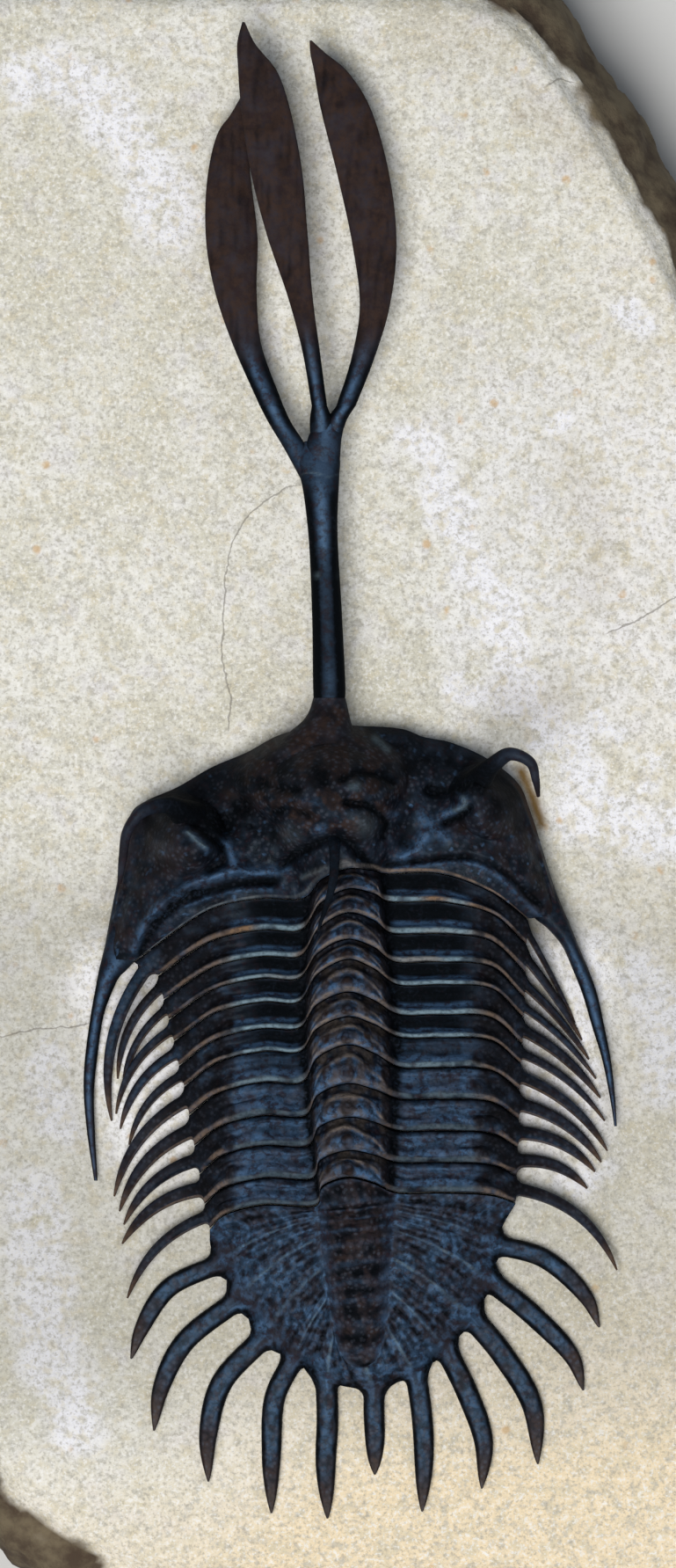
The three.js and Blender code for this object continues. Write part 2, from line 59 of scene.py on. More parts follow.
# The stone, as in the frame
STONE_TOP = 12
STONE_WIDEST_Z = 5.5
STONE_FOOT_INSET = 1.5
RIND_WIDTH = 2.7
MOUND_HEIGHT = 1.6
MOUND_CENTRE = (0.9, -13.5)
MOUND_REACH = (11, 21)
STONE_OUTLINE = [
    (12.8, 44.6), (9.4, 47.7), (3, 48.5), (-8, 48.4), (-17, 48.5), (-22, 47.9), (-23.5, 44), (-23.3, 32),
    (-23.5, 12), (-23.4, -10), (-23.5, -28), (-22.6, -37.5), (-20.4, -42.8), (-16.4, -46.2), (-11, -48.2),
    (-2, -48.5), (8, -48.4), (17, -48.5), (22, -47.9), (23.5, -44), (23.4, -30), (23.5, -12), (23.4, 6),
    (23.2, 20), (21.4, 30), (17.5, 37.6), (15.3, 41.1),
]

# Where the rear edge of each plate crosses the left pleura, the axis and the right pleura, from the head
# shield to the eleventh segment
LEFT_EDGES = (-6.5, -8.3, -9.8, -11.05, -12.4, -13.9, -15.2, -16.95, -18.85, -20.55, -22.4, -23.9)
AXIS_EDGES = (-4.8, -5.95, -7.3, -8.8, -9.95, -11.8, -13.2, -14.8, -17, -18.9, -20.8, -22.3)
RIGHT_EDGES = (-5.1, -6.7, -8.5, -10.1, -11.4, -13.1, -14.4, -16.1, -17.9, -19.7, -21.5, -23.2)
SEGMENTS = 11

# Height of the shell above the foot of the stone, at the head end and at the tail end
AXIS_TOP = (18.9, 17.6)
SHOULDER_TOP = (18.3, 17)
FURROW_TOP = (16.7, 15.9)
PLEURA_TOP = (17.1, 16.2)
FULCRUM_TOP = (16.7, 15.8)
SPINE_BASE_TOP = (15.3, 14.8)

# Tips of the pleural spines, from the first segment to the eleventh
LEFT_TIPS = [
    (-12.9, -19.2), (-12.55, -16.8), (-12.25, -17.5), (-12.65, -18.8), (-12.4, -19.65), (-11.9, -20.55),
    (-12.75, -23.5), (-12.45, -24.35), (-12.2, -25.1), (-12.3, -26.2), (-12, -29.3),
]
RIGHT_TIPS = [
    (13.5, -13.6), (13.9, -14.6), (14.3, -15.7), (14.7, -16.8), (14.95, -17.9), (15.2, -19.2),
    (15.35, -20.9), (15, -21.55), (14.65, -22.1), (14.2, -23.05), (15.9, -27.7),
]
LEFT_SPINE_BOW = (0.11, 0.12)
RIGHT_SPINE_BOW = (0.01, 0.14)
SPINE_SHARE_OF_PLATE = 0.52
PLEURAL_SPINE_DEPTH = 0.8
TIP_WIDTH = 0.1
TIP_ABOVE_STONE = 0.9

# Sections of a plate from its front lip to its rear lip: share of the way, height over the edge curves
FRONT_PLEURA_SECTION = [
    (0, -0.5), (0.07, -0.5), (0.17, -0.52), (0.32, -0.66), (0.52, -0.68), (0.7, -0.4), (0.82, 0.08),
    (0.94, 0.1), (1, -0.25),
]
REAR_PLEURA_SECTION = [
    (0, -0.4), (0.08, -0.12), (0.2, -0.05), (0.34, -0.34), (0.46, -0.4), (0.62, -0.08), (0.8, 0.08),
    (0.94, 0.05), (1, -0.25),
]
AXIS_SECTION = [
    (0, -0.85), (0.07, -0.8), (0.18, -0.72), (0.32, -0.42), (0.5, -0.05), (0.66, 0.2), (0.8, 0.3),
    (0.94, 0.16), (1, -0.3),
]
SPINE_SECTION = [
    (0, -0.42), (0.06, -0.2), (0.17, -0.04), (0.33, 0.04), (0.5, 0.06), (0.67, 0.04), (0.83, -0.04),
    (0.94, -0.2), (1, -0.42),
]
SECTION_STEPS = 3
SEGMENT_STEPS = 20
SPINE_RINGS = 44
NOTCH_RADIUS = 0.3
HAIRLINE = 0.07
FLOOR_GAP = 0.12

# The head shield: its free edge from the left genal corner round the front to the right one
HEAD_EDGE = [
    (-13.4, -9.9), (-13, -7.7), (-12.3, -4.2), (-11.75, -1.6), (-11, -1), (-9.2, -0.2), (-7.2, 0.95),
    (-5.2, 1.8), (-3.3, 2.8), (-1, 3.3), (1.5, 3.3), (3.8, 3.1), (4.8, 2.7), (6.3, 2.4), (8.4, 1.5),
    (10.3, 0), (10.9, -1.4), (11.7, -3.9), (12.3, -6), (12.75, -7.4),
]
HEAD_RIM_ABOVE_STONE = 1.5
GENAL_DROP = 0.8
HEAD_STEPS = 30
HEAD_ROWS = 150
LEFT_EYE = (-8.5, -2.9)
RIGHT_EYE = (8.4, -0.8)
EYE_REACH = 2.1
EYE_HEIGHT = 2.2
GLABELLA_HEIGHT = 2.7

# Round spines of the head: x, y, z and diameter along each
LEFT_EYE_SPINE = [
    (-8, -2.3, 14.4, 2.6), (-8.9, -1.6, 17.2, 1.5), (-9.8, -1.2, 18.7, 0.95), (-11, -1.5, 19.3, 0.75),
    (-11.9, -2.6, 19, 0.6), (-12.2, -4.2, 18.2, 0.5), (-12.4, -5.6, 17.4, 0.25),
]
RIGHT_EYE_SPINE = [
    (7.2, -0.9, 14.4, 2.8), (7.9, 0.1, 17.1, 1.6), (8.8, 1.1, 19.2, 0.95), (9.8, 1.7, 20.2, 0.75),
    (10.9, 1.2, 20.3, 0.6), (11.2, 0.2, 20, 0.45), (11.35, -0.7, 19.5, 0.2),
]
OCCIPITAL_SPINE = [
    (-0.3, -2.7, 18.2, 0.9), (-0.2, -3.8, 20, 0.6), (-0.3, -5.6, 20.6, 0.5), (-1.1, -8.2, 20.9, 0.15),
]

# Flat tapering pieces: y, left edge x, right edge x, height of the middle, thickness
LEFT_GENAL_SPINE = [
    (-3.4, -12.05, -11.9, 13.3, 0.3), (-6.4, -12.75, -12, 13.35, 0.8), (-8.6, -13.15, -11.8, 13.4, 1.3),
    (-9.9, -13.45, -11.5, 13.5, 1.5), (-10.5, -13.6, -11.95, 13.5, 1.5), (-11, -13.7, -12.45, 13.5, 1.45),
    (-11.8, -13.85, -12.85, 13.4, 1.3), (-13.2, -14.1, -13.35, 13.3, 1.1), (-15.9, -14.45, -13.75, 13, 1),
    (-17.5, -14.5, -13.9, 12.9, 0.9), (-19.9, -14.3, -13.85, 12.9, 0.7), (-22.6, -13.9, -13.7, 12.9, 0.3),
]
RIGHT_GENAL_SPINE = [
    (-2.2, 11.05, 11.2, 13.3, 0.3), (-4.4, 11, 11.85, 13.35, 0.8), (-6.3, 10.9, 12.5, 13.4, 1.3),
    (-7.5, 11.1, 13, 13.5, 1.5), (-8.2, 11.9, 13.3, 13.5, 1.5), (-9.2, 12.75, 13.7, 13.45, 1.4),
    (-10.4, 13.3, 14.2, 13.4, 1.3), (-11.9, 13.9, 14.75, 13.3, 1.2), (-13.9, 14.5, 15.2, 13.1, 1),
    (-15.7, 15.05, 15.55, 13, 0.9), (-17.9, 15.5, 15.8, 12.9, 0.6), (-19.5, 15.75, 15.9, 12.9, 0.3),
]
TRIDENT_BASE = [
    (0.6, -4.4, 2.3, 15.6, 4.6), (2, -3.7, 1.5, 15.9, 3.9), (3, -2.7, 0.95, 15.8, 3.1),
    (3.6, -2, 0.72, 15.7, 2.5), (4.2, -1.62, 0.58, 15.6, 2.05), (4.89, -1.41, 0.43, 15.5, 1.65),
]
TRIDENT_STEM = [
    (4.6, -1.35, 0.35, 15.5, 1.45), (5, -1.4, 0.42, 15.5, 1.6), (9.6, -1.48, 0.23, 15.2, 1.45),
    (14.6, -1.73, -0.03, 14.9, 1.35), (17.6, -2.2, 0.08, 14.7, 1.3), (18.5, -2.65, 0.1, 14.6, 1.2),
    (19, -2.6, -0.3, 14.5, 1), (19.3, -2.2, -1.1, 14.45, 0.6), (19.5, -1.9, -1.5, 14.4, 0.3),
]
FORK_LEFT = [
    (17.3, -2.1, -1.1, 14.6, 1.1), (19.1, -3.08, -1.75, 14.5, 1.1), (20.6, -3.98, -2.68, 14.4, 1),
    (21.5, -4.45, -3.1, 14.3, 1),
]
FORK_MIDDLE_AND_RIGHT = [
    (17.3, -1.9, 0.05, 14.65, 1.1), (19.6, -1.73, 0.2, 14.65, 1.1), (20.3, -1.4, 0.3, 14.6, 0.9),
    (20.7, -1, 0, 14.6, 0.6), (20.95, -0.75, -0.3, 14.6, 0.3),
]
FORK_MIDDLE = [
    (20, -1.6, -0.25, 14.65, 0.9), (20.8, -1.6, -0.36, 14.7, 0.95), (21.5, -1.5, -0.62, 14.8, 0.95),
]
FORK_RIGHT = [
    (20, -0.7, 0.25, 14.6, 0.9), (20.8, -0.58, 0.55, 14.6, 0.95), (21.5, -0.1, 1, 14.6, 0.95),
]
LEFT_TINE = [
    (21.51, -4.46, -3.11, 14.3, 1), (25.1, -6.03, -4.38, 14.1, 0.95), (28.1, -7.03, -4.63, 14, 0.9),
    (31.1, -7.53, -4.58, 13.9, 0.9), (34.6, -7.43, -4.98, 13.8, 0.85), (37.1, -6.83, -5.18, 13.7, 0.7),
    (38.1, -6.13, -5.28, 13.7, 0.5), (39.1, -5.55, -5.4, 13.7, 0.2),
]
MIDDLE_TINE = [
    (21.51, -1.5, -0.62, 14.8, 0.95), (24.6, -2.03, -1.03, 15.1, 0.95), (27.6, -2.83, -1.43, 15.5, 0.95),
    (31.3, -4.08, -1.73, 15.9, 0.95), (35.1, -5.03, -2.08, 16, 0.9), (39.1, -5.58, -2.93, 15.8, 0.8),
    (40.6, -5.68, -3.53, 15.7, 0.7), (42.1, -5.73, -4.73, 15.6, 0.45), (43.3, -5.45, -5.3, 15.5, 0.2),
]
RIGHT_TINE = [
    (21.51, -0.1, 1.01, 14.6, 0.95), (24.1, 0.73, 2.03, 14.6, 0.95), (27.1, 1.23, 2.93, 14.6, 0.95),
    (30.6, 0.83, 3.33, 14.6, 0.95), (34.6, -0.03, 2.93, 14.6, 0.9), (38.6, -1.03, 1.78, 14.5, 0.8),
    (40.6, -1.38, 0.48, 14.4, 0.65), (41.6, -1.58, -0.73, 14.4, 0.4), (42.3, -1.62, -1.5, 14.4, 0.2),
]

# The tail shield: its free edge, and the outline of its axis, both from the left front round to the right
TAIL_EDGE = [
    (-7.25, -26.3), (-6.35, -28.2), (-5.1, -30.4), (-3.3, -32.4), (-1.95, -33.2), (0.7, -34.3),
    (3.4, -34), (5.4, -32.9), (6.9, -31.4), (8.35, -29.3), (9, -27.2), (9.35, -25.2),
]
TAIL_FURROW = [
    (-1.2, -23.9), (-1.05, -25.4), (-0.75, -27.9), (-0.35, -30.4), (0, -32), (0.6, -32.9), (1.35, -33.1),
    (2.05, -32.8), (2.5, -31.9), (2.8, -30.3), (2.95, -27.8), (3.15, -25.2), (3.3, -23.2),
]
TAIL_FRONT = -23.5
TAIL_LENGTH = 9.6
TAIL_FURROW_END = 14.4
TAIL_LIP_DROP = 0.12
TAIL_NOTCH_ABOVE_STONE = 0.9
TAIL_RIM_ABOVE_STONE = 1.5
TAIL_TIP_ABOVE_STONE = 0.5
TAIL_NOTCH_RADIUS = 0.7
TAIL_SAMPLES = 2001
TAIL_RIB_SLANT = 0.6
TAIL_SECTOR_COLUMNS = 20
TAIL_SPINE_STEPS = 18
TAIL_ROWS = 3 * SEGMENT_STEPS
TAIL_RINGS = 11
# Spines of the tail: two points along the middle and the tip in plan, then the width
TAIL_SPINES = [
    ((11.8, -27), (14.15, -29.2), (14.9, -30.9), 1.1),
    ((11.1, -30.2), (13.35, -32.6), (14, -34.5), 1.2),
    ((9.35, -32.4), (11.05, -35.3), (11.4, -38.7), 1.3),
    ((7.4, -34.7), (8.3, -37.4), (8.2, -40.1), 1.25),
    ((4.8, -36.1), (4.9, -38.4), (4.8, -41.4), 1.2),
    ((2.05, -35.6), (2.1, -37.2), (2.1, -39.3), 1.2),
    ((-0.6, -36.2), (-0.7, -38.6), (-0.6, -41.8), 1.25),
    ((-3.6, -34.9), (-3.8, -38), (-3.8, -41.5), 1.2),
    ((-6.65, -34.1), (-7.4, -37), (-7.4, -39.7), 1.25),
    ((-8.8, -31.8), (-10.1, -34.4), (-10.5, -36.8), 1.2),
    ((-9.7, -28.7), (-11.2, -31), (-11.8, -32.7), 1.1),
]

# What each point of the shell or the stone is marked with, from 0 to 1, for the materials to colour.
# On the shell, the blue mark is painted sheen, the dark mark holds painted shade beside the shell's dark
# blotches, and the pale mark holds painted highlights beside pale edges. On the stone, the darkening
# round the body is painted shade.
SHELL_MARKS = ("pale", "tan", "blue", "brown", "dark", "grainy")
STONE_MARKS = ("rind", "white", "warm", "shade_round_body", "stain", "crack_side", "crack_near")

# Colours of the shell
BLACK = (0.005, 0.0065, 0.011)
# Laid by the dark mark as painted shade in furrows, grooves, ring fronts and down rounded sides, and for the
# shell's own dark blotches. Also laid between the granules
DEEP_BLACK = (0.001, 0.0012, 0.002)
# Painted sheen: the cool reflection on ridges, crests, lids and the stem's middle, laid into the colour
SHEEN_BLUE = (0.062, 0.124, 0.23)
BROWN = (0.044, 0.025, 0.019)
SLATE = (0.020, 0.030, 0.049)
MAROON = (0.032, 0.014, 0.017)
TUBERCLE = (0.060, 0.068, 0.090)
# Colour of the pale lines: residue and worn shell on the rear edges, with painted highlights on rear-facing
# bevels, lids, rib crests and the stem's middle. They are tan where the tan mark says so
PALE_BLUE = (0.18, 0.26, 0.31)
TAN = (0.2, 0.125, 0.075)
COLD_SHINE = (0.62, 0.85, 1)

# Colours of the stone
CREAM = (0.67, 0.645, 0.535)
CREAM_LIGHT = (0.84, 0.83, 0.775)
CREAM_GREY = (0.50, 0.485, 0.43)
WARM_SAND = (0.87, 0.72, 0.49)
STRAW = (0.66, 0.59, 0.42)
UMBER = (0.36, 0.33, 0.27)
CHALK = (0.90, 0.89, 0.86)
SNOW = (0.90, 0.90, 0.95)
RIND_BROWN = (0.07, 0.048, 0.032)
RIND_OLIVE = (0.17, 0.135, 0.085)
OCHRE = (0.62, 0.40, 0.18)
GOLDEN_BROWN = (0.2, 0.115, 0.03)
# Laid as painted shade over the stone round the body's lower half
SHADE_GREY = (0.15, 0.148, 0.128)
LILAC = (0.60, 0.57, 0.60)
CRACK_GREY = (0.16, 0.14, 0.12)

# Colours of the floor and of the light
FLOOR_GREY = (0.60, 0.60, 0.59)
FLOOR_LIGHT = (0.64, 0.64, 0.63)
WARM_LIGHT = (1, 0.98, 0.95)
COOL_LIGHT = (0.85, 0.92, 1)
SKY = (0.75, 0.85, 1)
SKY_STRENGTH = 0.13

# Lamps: name, place in metres, power in watts and colour
LAMPS = [
    ("overhead", (-0.12, -0.22, 0.75), 6.1, WARM_LIGHT),
    ("fill", (0.5, 0.45, 0.6), 0.8, COOL_LIGHT),
]

# Distances between granules and between ochre specks, and depths of the fine bumps, in millimetres
GRANULE_SPACING = 1 / 3
OCHRE_SPACING = 1 / 0.45
SHELL_BUMP = 0.12
STONE_BUMP = 0.2

# Noise: cells before it repeats, and the turn that keeps its cells off the axes
NOISE_CELLS = 24
NOISE_TURN = np.array([(0.8, 0.48, 0.36), (-0.6, 0.64, 0.48), (0, -0.6, 0.8)])

# Edges sharper than this many degrees stay sharp; points nearer than this many metres are welded
SHARP_ANGLE = 60
WELD_REACH = 1e-6

# A closed or open surface: points in millimetres, four-cornered and three-cornered faces, and marks
Part = namedtuple("Part", "points quads tips marks")


# Small sums

def mix(a, b, t):
    return a + (b - a) * t


def clamped(value):
    return np.clip(value, 0, 1)


def ramp(low, high, value):
    """Rises smoothly from 0 at low to 1 at high, or falls where low is the greater."""
    t = clamped((value - low) / (high - low))
    return t * t * (3 - 2 * t)


def between(low, high, edge, value):
    """1 between low and high, falling to 0 over the given edge on both sides."""
    return ramp(low - edge, low + edge, value) * (1 - ramp(high - edge, high + edge, value))


def bell(distance, width):
    return np.exp(-(distance / width) ** 2)


def unit(vectors):
    return vectors / np.linalg.norm(vectors, axis=-1, keepdims=True)


def stacked(*columns):
    return np.stack(np.broadcast_arrays(*columns), axis=-1)


def noise(points, size, seed):
    """Smooth random values, mostly between -0.7 and 0.7, with lumps of about the given size."""
    slopes = np.random.default_rng(seed).uniform(-1, 1, (NOISE_CELLS, NOISE_CELLS, NOISE_CELLS, 3))
    scaled = np.asarray(points) / size @ NOISE_TURN
    cell = np.floor(scaled).astype(int)
    part = scaled - cell
    eased = part ** 3 * (part * (6 * part - 15) + 10)
    total = np.zeros(scaled.shape[:-1])
    for corner in np.ndindex(2, 2, 2):
        weight = np.prod(np.where(corner, eased, 1 - eased), axis=-1)
        at = (cell + corner) % NOISE_CELLS
        total += weight * np.sum(slopes[at[..., 0], at[..., 1], at[..., 2]] * (part - corner), axis=-1)
    return 1.5 * total


def rough(points, size, seed, octaves=3):
    """Noise with finer and weaker noise on it."""
    return sum(noise(points, size / 2 ** i, seed + i) / 2 ** i for i in range(octaves))


def ground(x, y):
    """Height of the stone's top over a point of the plan."""
    out = np.hypot((x - MOUND_CENTRE[0]) / MOUND_REACH[0], (y - MOUND_CENTRE[1]) / MOUND_REACH[1])
    wave = 0.2 * np.sin(0.19 * x + 1) * np.cos(0.13 * y)
    return STONE_TOP + wave + MOUND_HEIGHT * (1 - ramp(0.45, 1.3, out))


# Curves through points

def stretch(before, start, end, after, t):
    """The centripetal curve from start to end, at the shares t."""
    gaps = [math.sqrt(np.linalg.norm(b - a)) for a, b in ((before, start), (start, end), (end, after))]
    first = (start - before) / gaps[0] - (end - before) / (gaps[0] + gaps[1]) + (end - start) / gaps[1]
    last = (end - start) / gaps[1] - (after - start) / (gaps[1] + gaps[2]) + (after - end) / gaps[2]
    first, last = first * gaps[1], last * gaps[1]
    t = t[:, None]
    rise = 3 * (end - start) - 2 * first - last
    return start + first * t + rise * t ** 2 + (2 * (start - end) + first + last) * t ** 3


def finer(points, steps, closed=False):
    """Points on a smooth curve through the given ones, with the given number of steps in each stretch."""
    points = np.array(points, float)
    if closed:
        padded = np.vstack([points[-1:], points, points[:2]])
    else:
        padded = np.vstack([2 * points[:1] - points[1:2], points, 2 * points[-1:] - points[-2:-1]])
    shares = np.arange(steps) / steps
    curve = [stretch(*padded[i:i + 4], shares) for i in range(len(padded) - 3)]
    return np.vstack(curve + [padded[-2:-1]])


def spaced(points, count, closed=False):
    """Evenly spaced points on the smooth curve; on a closed one the last is a step before the first."""
    curve = finer(points, 40, closed)
    lengths = np.append(0, np.cumsum(np.linalg.norm(np.diff(curve, axis=0), axis=1)))
    wanted = np.linspace(0, lengths[-1], count, endpoint=not closed)
    return np.stack([np.interp(wanted, lengths, column) for column in curve.T], axis=-1)


def bent(start, middle, end, t):
    """The curve from start to end that is drawn toward the middle, at the shares t."""
    return (1 - t) ** 2 * start + 2 * t * (1 - t) * middle + t ** 2 * end


# Surfaces

def grid_quads(rows, columns, closed=False):
    at = np.arange(rows * columns).reshape(rows, columns)
    if closed:
        at = np.hstack([at, at[:, :1]])
    return np.stack([at[:-1, :-1], at[:-1, 1:], at[1:, 1:], at[1:, :-1]], axis=-1).reshape(-1, 4)


def flattened(marks, ends=False):
    """Marks of a grid as flat arrays, repeated for the points that close its two ends."""
    flat = {name: np.ravel(values) for name, values in marks.items()}
    if ends:
        flat = {name: np.append(values, [values[0], values[-1]]) for name, values in flat.items()}
    return flat


def facing_out(points, quads, tips):
    """The same faces, turned round if they enclose a negative volume."""
    corners = points[quads]
    volume = np.einsum("ij,ij->", corners[:, 0], np.cross(corners[:, 1], corners[:, 2]))
    volume += np.einsum("ij,ij->", corners[:, 0], np.cross(corners[:, 2], corners[:, 3]))
    if volume < 0:
        return quads[:, ::-1], tips[:, ::-1]
    return quads, tips


def loft(rings, marks):
    """A closed skin over rings of equally many points, each end drawn together in a point."""
    count, around, _ = rings.shape
    points = np.vstack([rings.reshape(-1, 3), rings[0].mean(axis=0), rings[-1].mean(axis=0)])
    quads = grid_quads(count, around, closed=True)
    first = np.arange(around)
    following = np.roll(first, -1)
    last = (count - 1) * around
    tips = np.vstack([
        stacked(len(points) - 2, following, first),
        stacked(len(points) - 1, last + first, last + following),
    ])
    quads, tips = facing_out(points, quads, tips)
    return Part(points, quads, tips, flattened(marks, ends=True))


def sheet(points, marks):
    """An open surface over a grid of points."""
    no_tips = np.zeros((0, 3), int)
    return Part(points.reshape(-1, 3), grid_quads(*points.shape[:2]), no_tips, flattened(marks))


def filled(marks, shape, names=SHELL_MARKS):
    """All the named marks over a grid of the given shape, 0 where they aren't given."""
    return {name: np.zeros(shape) + marks.get(name, 0) for name in names}


def no_marks(shape, names=SHELL_MARKS):
    return filled({}, shape, names)


def at_least(marks, **wanted):
    """Raises marks to the wanted strengths where they are weaker."""
    for name, strength in wanted.items():
        marks[name] = np.maximum(marks[name], strength)


def distance_to(line, x, y):
    """Distance in plan from each place to a line, and on which side and how far along it lies."""
    nearest = np.full(np.shape(x), 1e9)
    side = np.zeros(np.shape(x))
    for (ax, ay), (bx, by) in zip(line, line[1:]):
        dx, dy = bx - ax, by - ay
        along = clamped(((x - ax) * dx + (y - ay) * dy) / (dx * dx + dy * dy + 1e-9))
        off = np.hypot(x - ax - along * dx, y - ay - along * dy)
        closer = off < nearest
        nearest = np.where(closer, off, nearest)
        side = np.where(closer, np.sign(dx * (y - ay) - dy * (x - ax)), side)
    return nearest, side


def smoothed(line, steps):
    return finer(line, steps) if len(line) > 2 else line


def carve(strokes, x, y, z, marks):
    """Adds ridges, grooves, lumps and pits along short lines, with the marks that go with them."""
    for height, width, mark, strength, line in strokes:
        reach = bell(distance_to(smoothed(line, 6), x, y)[0], width)
        z += height * reach
        at_least(marks, **{mark: strength * reach})


def build_piece(name, nodes, parts, material, weld=False):
    """Makes one object of the parts, which stands for the named frame nodes."""
    starts = np.cumsum([0] + [len(part.points) for part in parts])
    faces = []
    for part, start in zip(parts, starts):
        faces += (part.quads + start).tolist() + (part.tips + start).tolist()
    points = np.vstack([part.points for part in parts]) * MM
    mesh = bpy.data.meshes.new(name)
    mesh.from_pydata(points.tolist(), [], faces)
    for mark in parts[0].marks:
        values = np.concatenate([part.marks[mark] for part in parts])
        attribute = mesh.attributes.new(mark, "FLOAT", "POINT")
        attribute.data.foreach_set("value", values.astype(np.float32))
    if weld:
        made = bmesh.new()
        made.from_mesh(mesh)
        bmesh.ops.remove_doubles(made, verts=made.verts, dist=WELD_REACH)
        bmesh.ops.recalc_face_normals(made, faces=made.faces)
        made.to_mesh(mesh)
        made.free()
    mesh.shade_smooth()
    mesh.set_sharp_from_angle(angle=math.radians(SHARP_ANGLE))
    piece = bpy.data.objects.new(name, mesh)
    piece.data.materials.append(material)
    bpy.context.scene.collection.objects.link(piece)
    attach(piece, "root")
    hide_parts(*nodes)


def round_spine(points, marks_at, sides=20, steps=14):
    """A round spine along points of x, y, z and diameter."""
    path = finer(points, steps)
    knots = np.arange(len(points))
    path[:, 3] = np.interp(np.linspace(0, knots[-1], len(path)), knots, [point[3] for point in points])
    centres = path[:, :3]
    along = unit(np.gradient(centres, axis=0))
    side = unit(np.cross(along, (0, 0, 1)))
    over = np.cross(side, along)
    angle = np.linspace(0, 2 * np.pi, sides, endpoint=False)[None, :, None]
    radius = path[:, None, 3:4] / 2
    rings = centres[:, None] + radius * (np.cos(angle) * side[:, None] + np.sin(angle) * over[:, None])
    return loft(rings, filled(marks_at(np.linspace(0, 1, len(path))[:, None]), rings.shape[:2]))


def blade(rows, marks_at, sides=36, steps=16):
    """A flat tapering piece from rows of y, left x, right x, middle height and thickness."""
    left = finer([(row[1], row[0], row[3]) for row in rows], steps)
    right = finer([(row[2], row[0], row[4]) for row in rows], steps)
    angle = np.linspace(0, 2 * np.pi, sides, endpoint=False)
    across = np.cos(angle)
    lift = np.sign(np.sin(angle)) * np.abs(np.sin(angle)) ** 0.85
    middle = (left[:, None] + right[:, None]) / 2
    half = (right[:, None] - left[:, None]) / 2
    x = middle[..., 0] + across * half[..., 0]
    y = middle[..., 1] + across * half[..., 1]
    z = left[:, None, 2] + lift * right[:, None, 2] / 2
    rings = stacked(x, y, z)
    rings[..., 2] += 0.03 * rough(rings * (1, 0.35, 1), 0.5, 41)
    return loft(rings, filled(marks_at(x, y, across + 0 * x), x.shape))


# The thorax

def plate_edge(index):
    """Rear edge of the head shield (0) or of a segment (1 to 11), from left spine root to right one."""
    t = index / SEGMENTS
    left, axis, right = LEFT_EDGES[index], AXIS_EDGES[index], RIGHT_EDGES[index]
    if index == 0:
        left_root = (-11.6, left - 3.6)
    else:
        left_root = (mix(-10.5, -7.3, t), left - mix(2.7, 1.4, t))
    right_root = (mix(10.8, 10.1, t), right - mix(2.6, 0.6, t))
    narrowing = math.sin(math.pi * t)
    return [
        (*left_root, mix(*SPINE_BASE_TOP, t)),
        (mix(-7.2, -6.5, t), left - 0.6, mix(*FULCRUM_TOP, t)),
        (-4.3, left, mix(*PLEURA_TOP, t)),
        (mix(-2, -1.2, t) - 0.6 * narrowing, left, mix(*FURROW_TOP, t)),
        (-0.9 - 0.3 * narrowing, mix(left, axis, 0.65), mix(*SHOULDER_TOP, t)),
        (0.55, axis, mix(*AXIS_TOP, t)),
        (2, mix(right, axis, 0.65), mix(*SHOULDER_TOP, t)),
        (mix(2.7, 3.3, t) + 0.5 * narrowing, right, mix(*FURROW_TOP, t)),
        (5.8, right, mix(*PLEURA_TOP, t)),
        (8.7, right - mix(1.05, 0.15, 1 - (1 - t) ** 6), mix(*FULCRUM_TOP, t)),
        (*right_root, mix(*SPINE_BASE_TOP, t)),
    ]


def fine_edge(index):
    return finer(plate_edge(index), SEGMENT_STEPS)


def notch_curve(gone, radius):
    """1 where a spine leaves its plate, falling to 0 in a quarter circle of the given radius."""
    left = clamped(1 - gone / radius)
    return 1 - np.sqrt(1 - left ** 2)


def spine_rings(root, tip, bow, end_ring, section):
    """Rings of a pleural spine that leaves its plate in a round notch, and how far along each lies."""
    dx, dy = tip[0] - root[0], tip[1] - root[1]
    outer = math.copysign(1, dx)
    tip_top = ground(*tip) + TIP_ABOVE_STONE
    bend = (root[0] + dx / 2 - outer * dy * 2 * bow, root[1] + dy / 2 + outer * dx * 2 * bow)
    start, middle, end = map(np.array, (root, (*bend, mix(root[2], tip_top, 0.6)), (*tip, tip_top)))
    t = np.linspace(0, 1, SPINE_RINGS)[:, None] ** 1.5
    centre = bent(start, middle, end, t)
    along = 2 * (1 - t) * (middle - start) + 2 * t * (end - middle)
    along = unit(along[:, :2])
    lips = end_ring[-3] - end_ring[0]
    plate_width = abs(lips[0] * along[0, 1] - lips[1] * along[0, 0])
    width = mix(SPINE_SHARE_OF_PLATE * plate_width * (1 - 0.35 * t), TIP_WIDTH, t ** 5)
    depth = mix(PLEURAL_SPINE_DEPTH, 2 * TIP_WIDTH, t)
    share, lift = section
    off = (0.5 - share) * width
    x = centre[:, :1] - outer * along[:, 1:] * off
    y = centre[:, 1:2] + outer * along[:, :1] * off
    z = centre[:, 2:] + lift * mix(1, 0.2, t)
    floor = centre[:, 2:] - depth
    top = stacked(x, y, z)
    under = [stacked(x[:, i], y[:, i], floor[:, 0])[:, None] for i in (-1, 0)]
    rings = np.concatenate([top, *under], axis=1)
    leaving = notch_curve(t * math.hypot(dx, dy), NOTCH_RADIUS)[..., None]
    return (rings + (end_ring - rings[0]) * leaving)[1:], t[1:]


def behind_arch(place, share):
    """How far behind the arch that crosses each ring of the axis a place lies, in shares of the plate."""
    return share - 0.3 - 0.42 * ((place - 5) / 1.4) ** 2


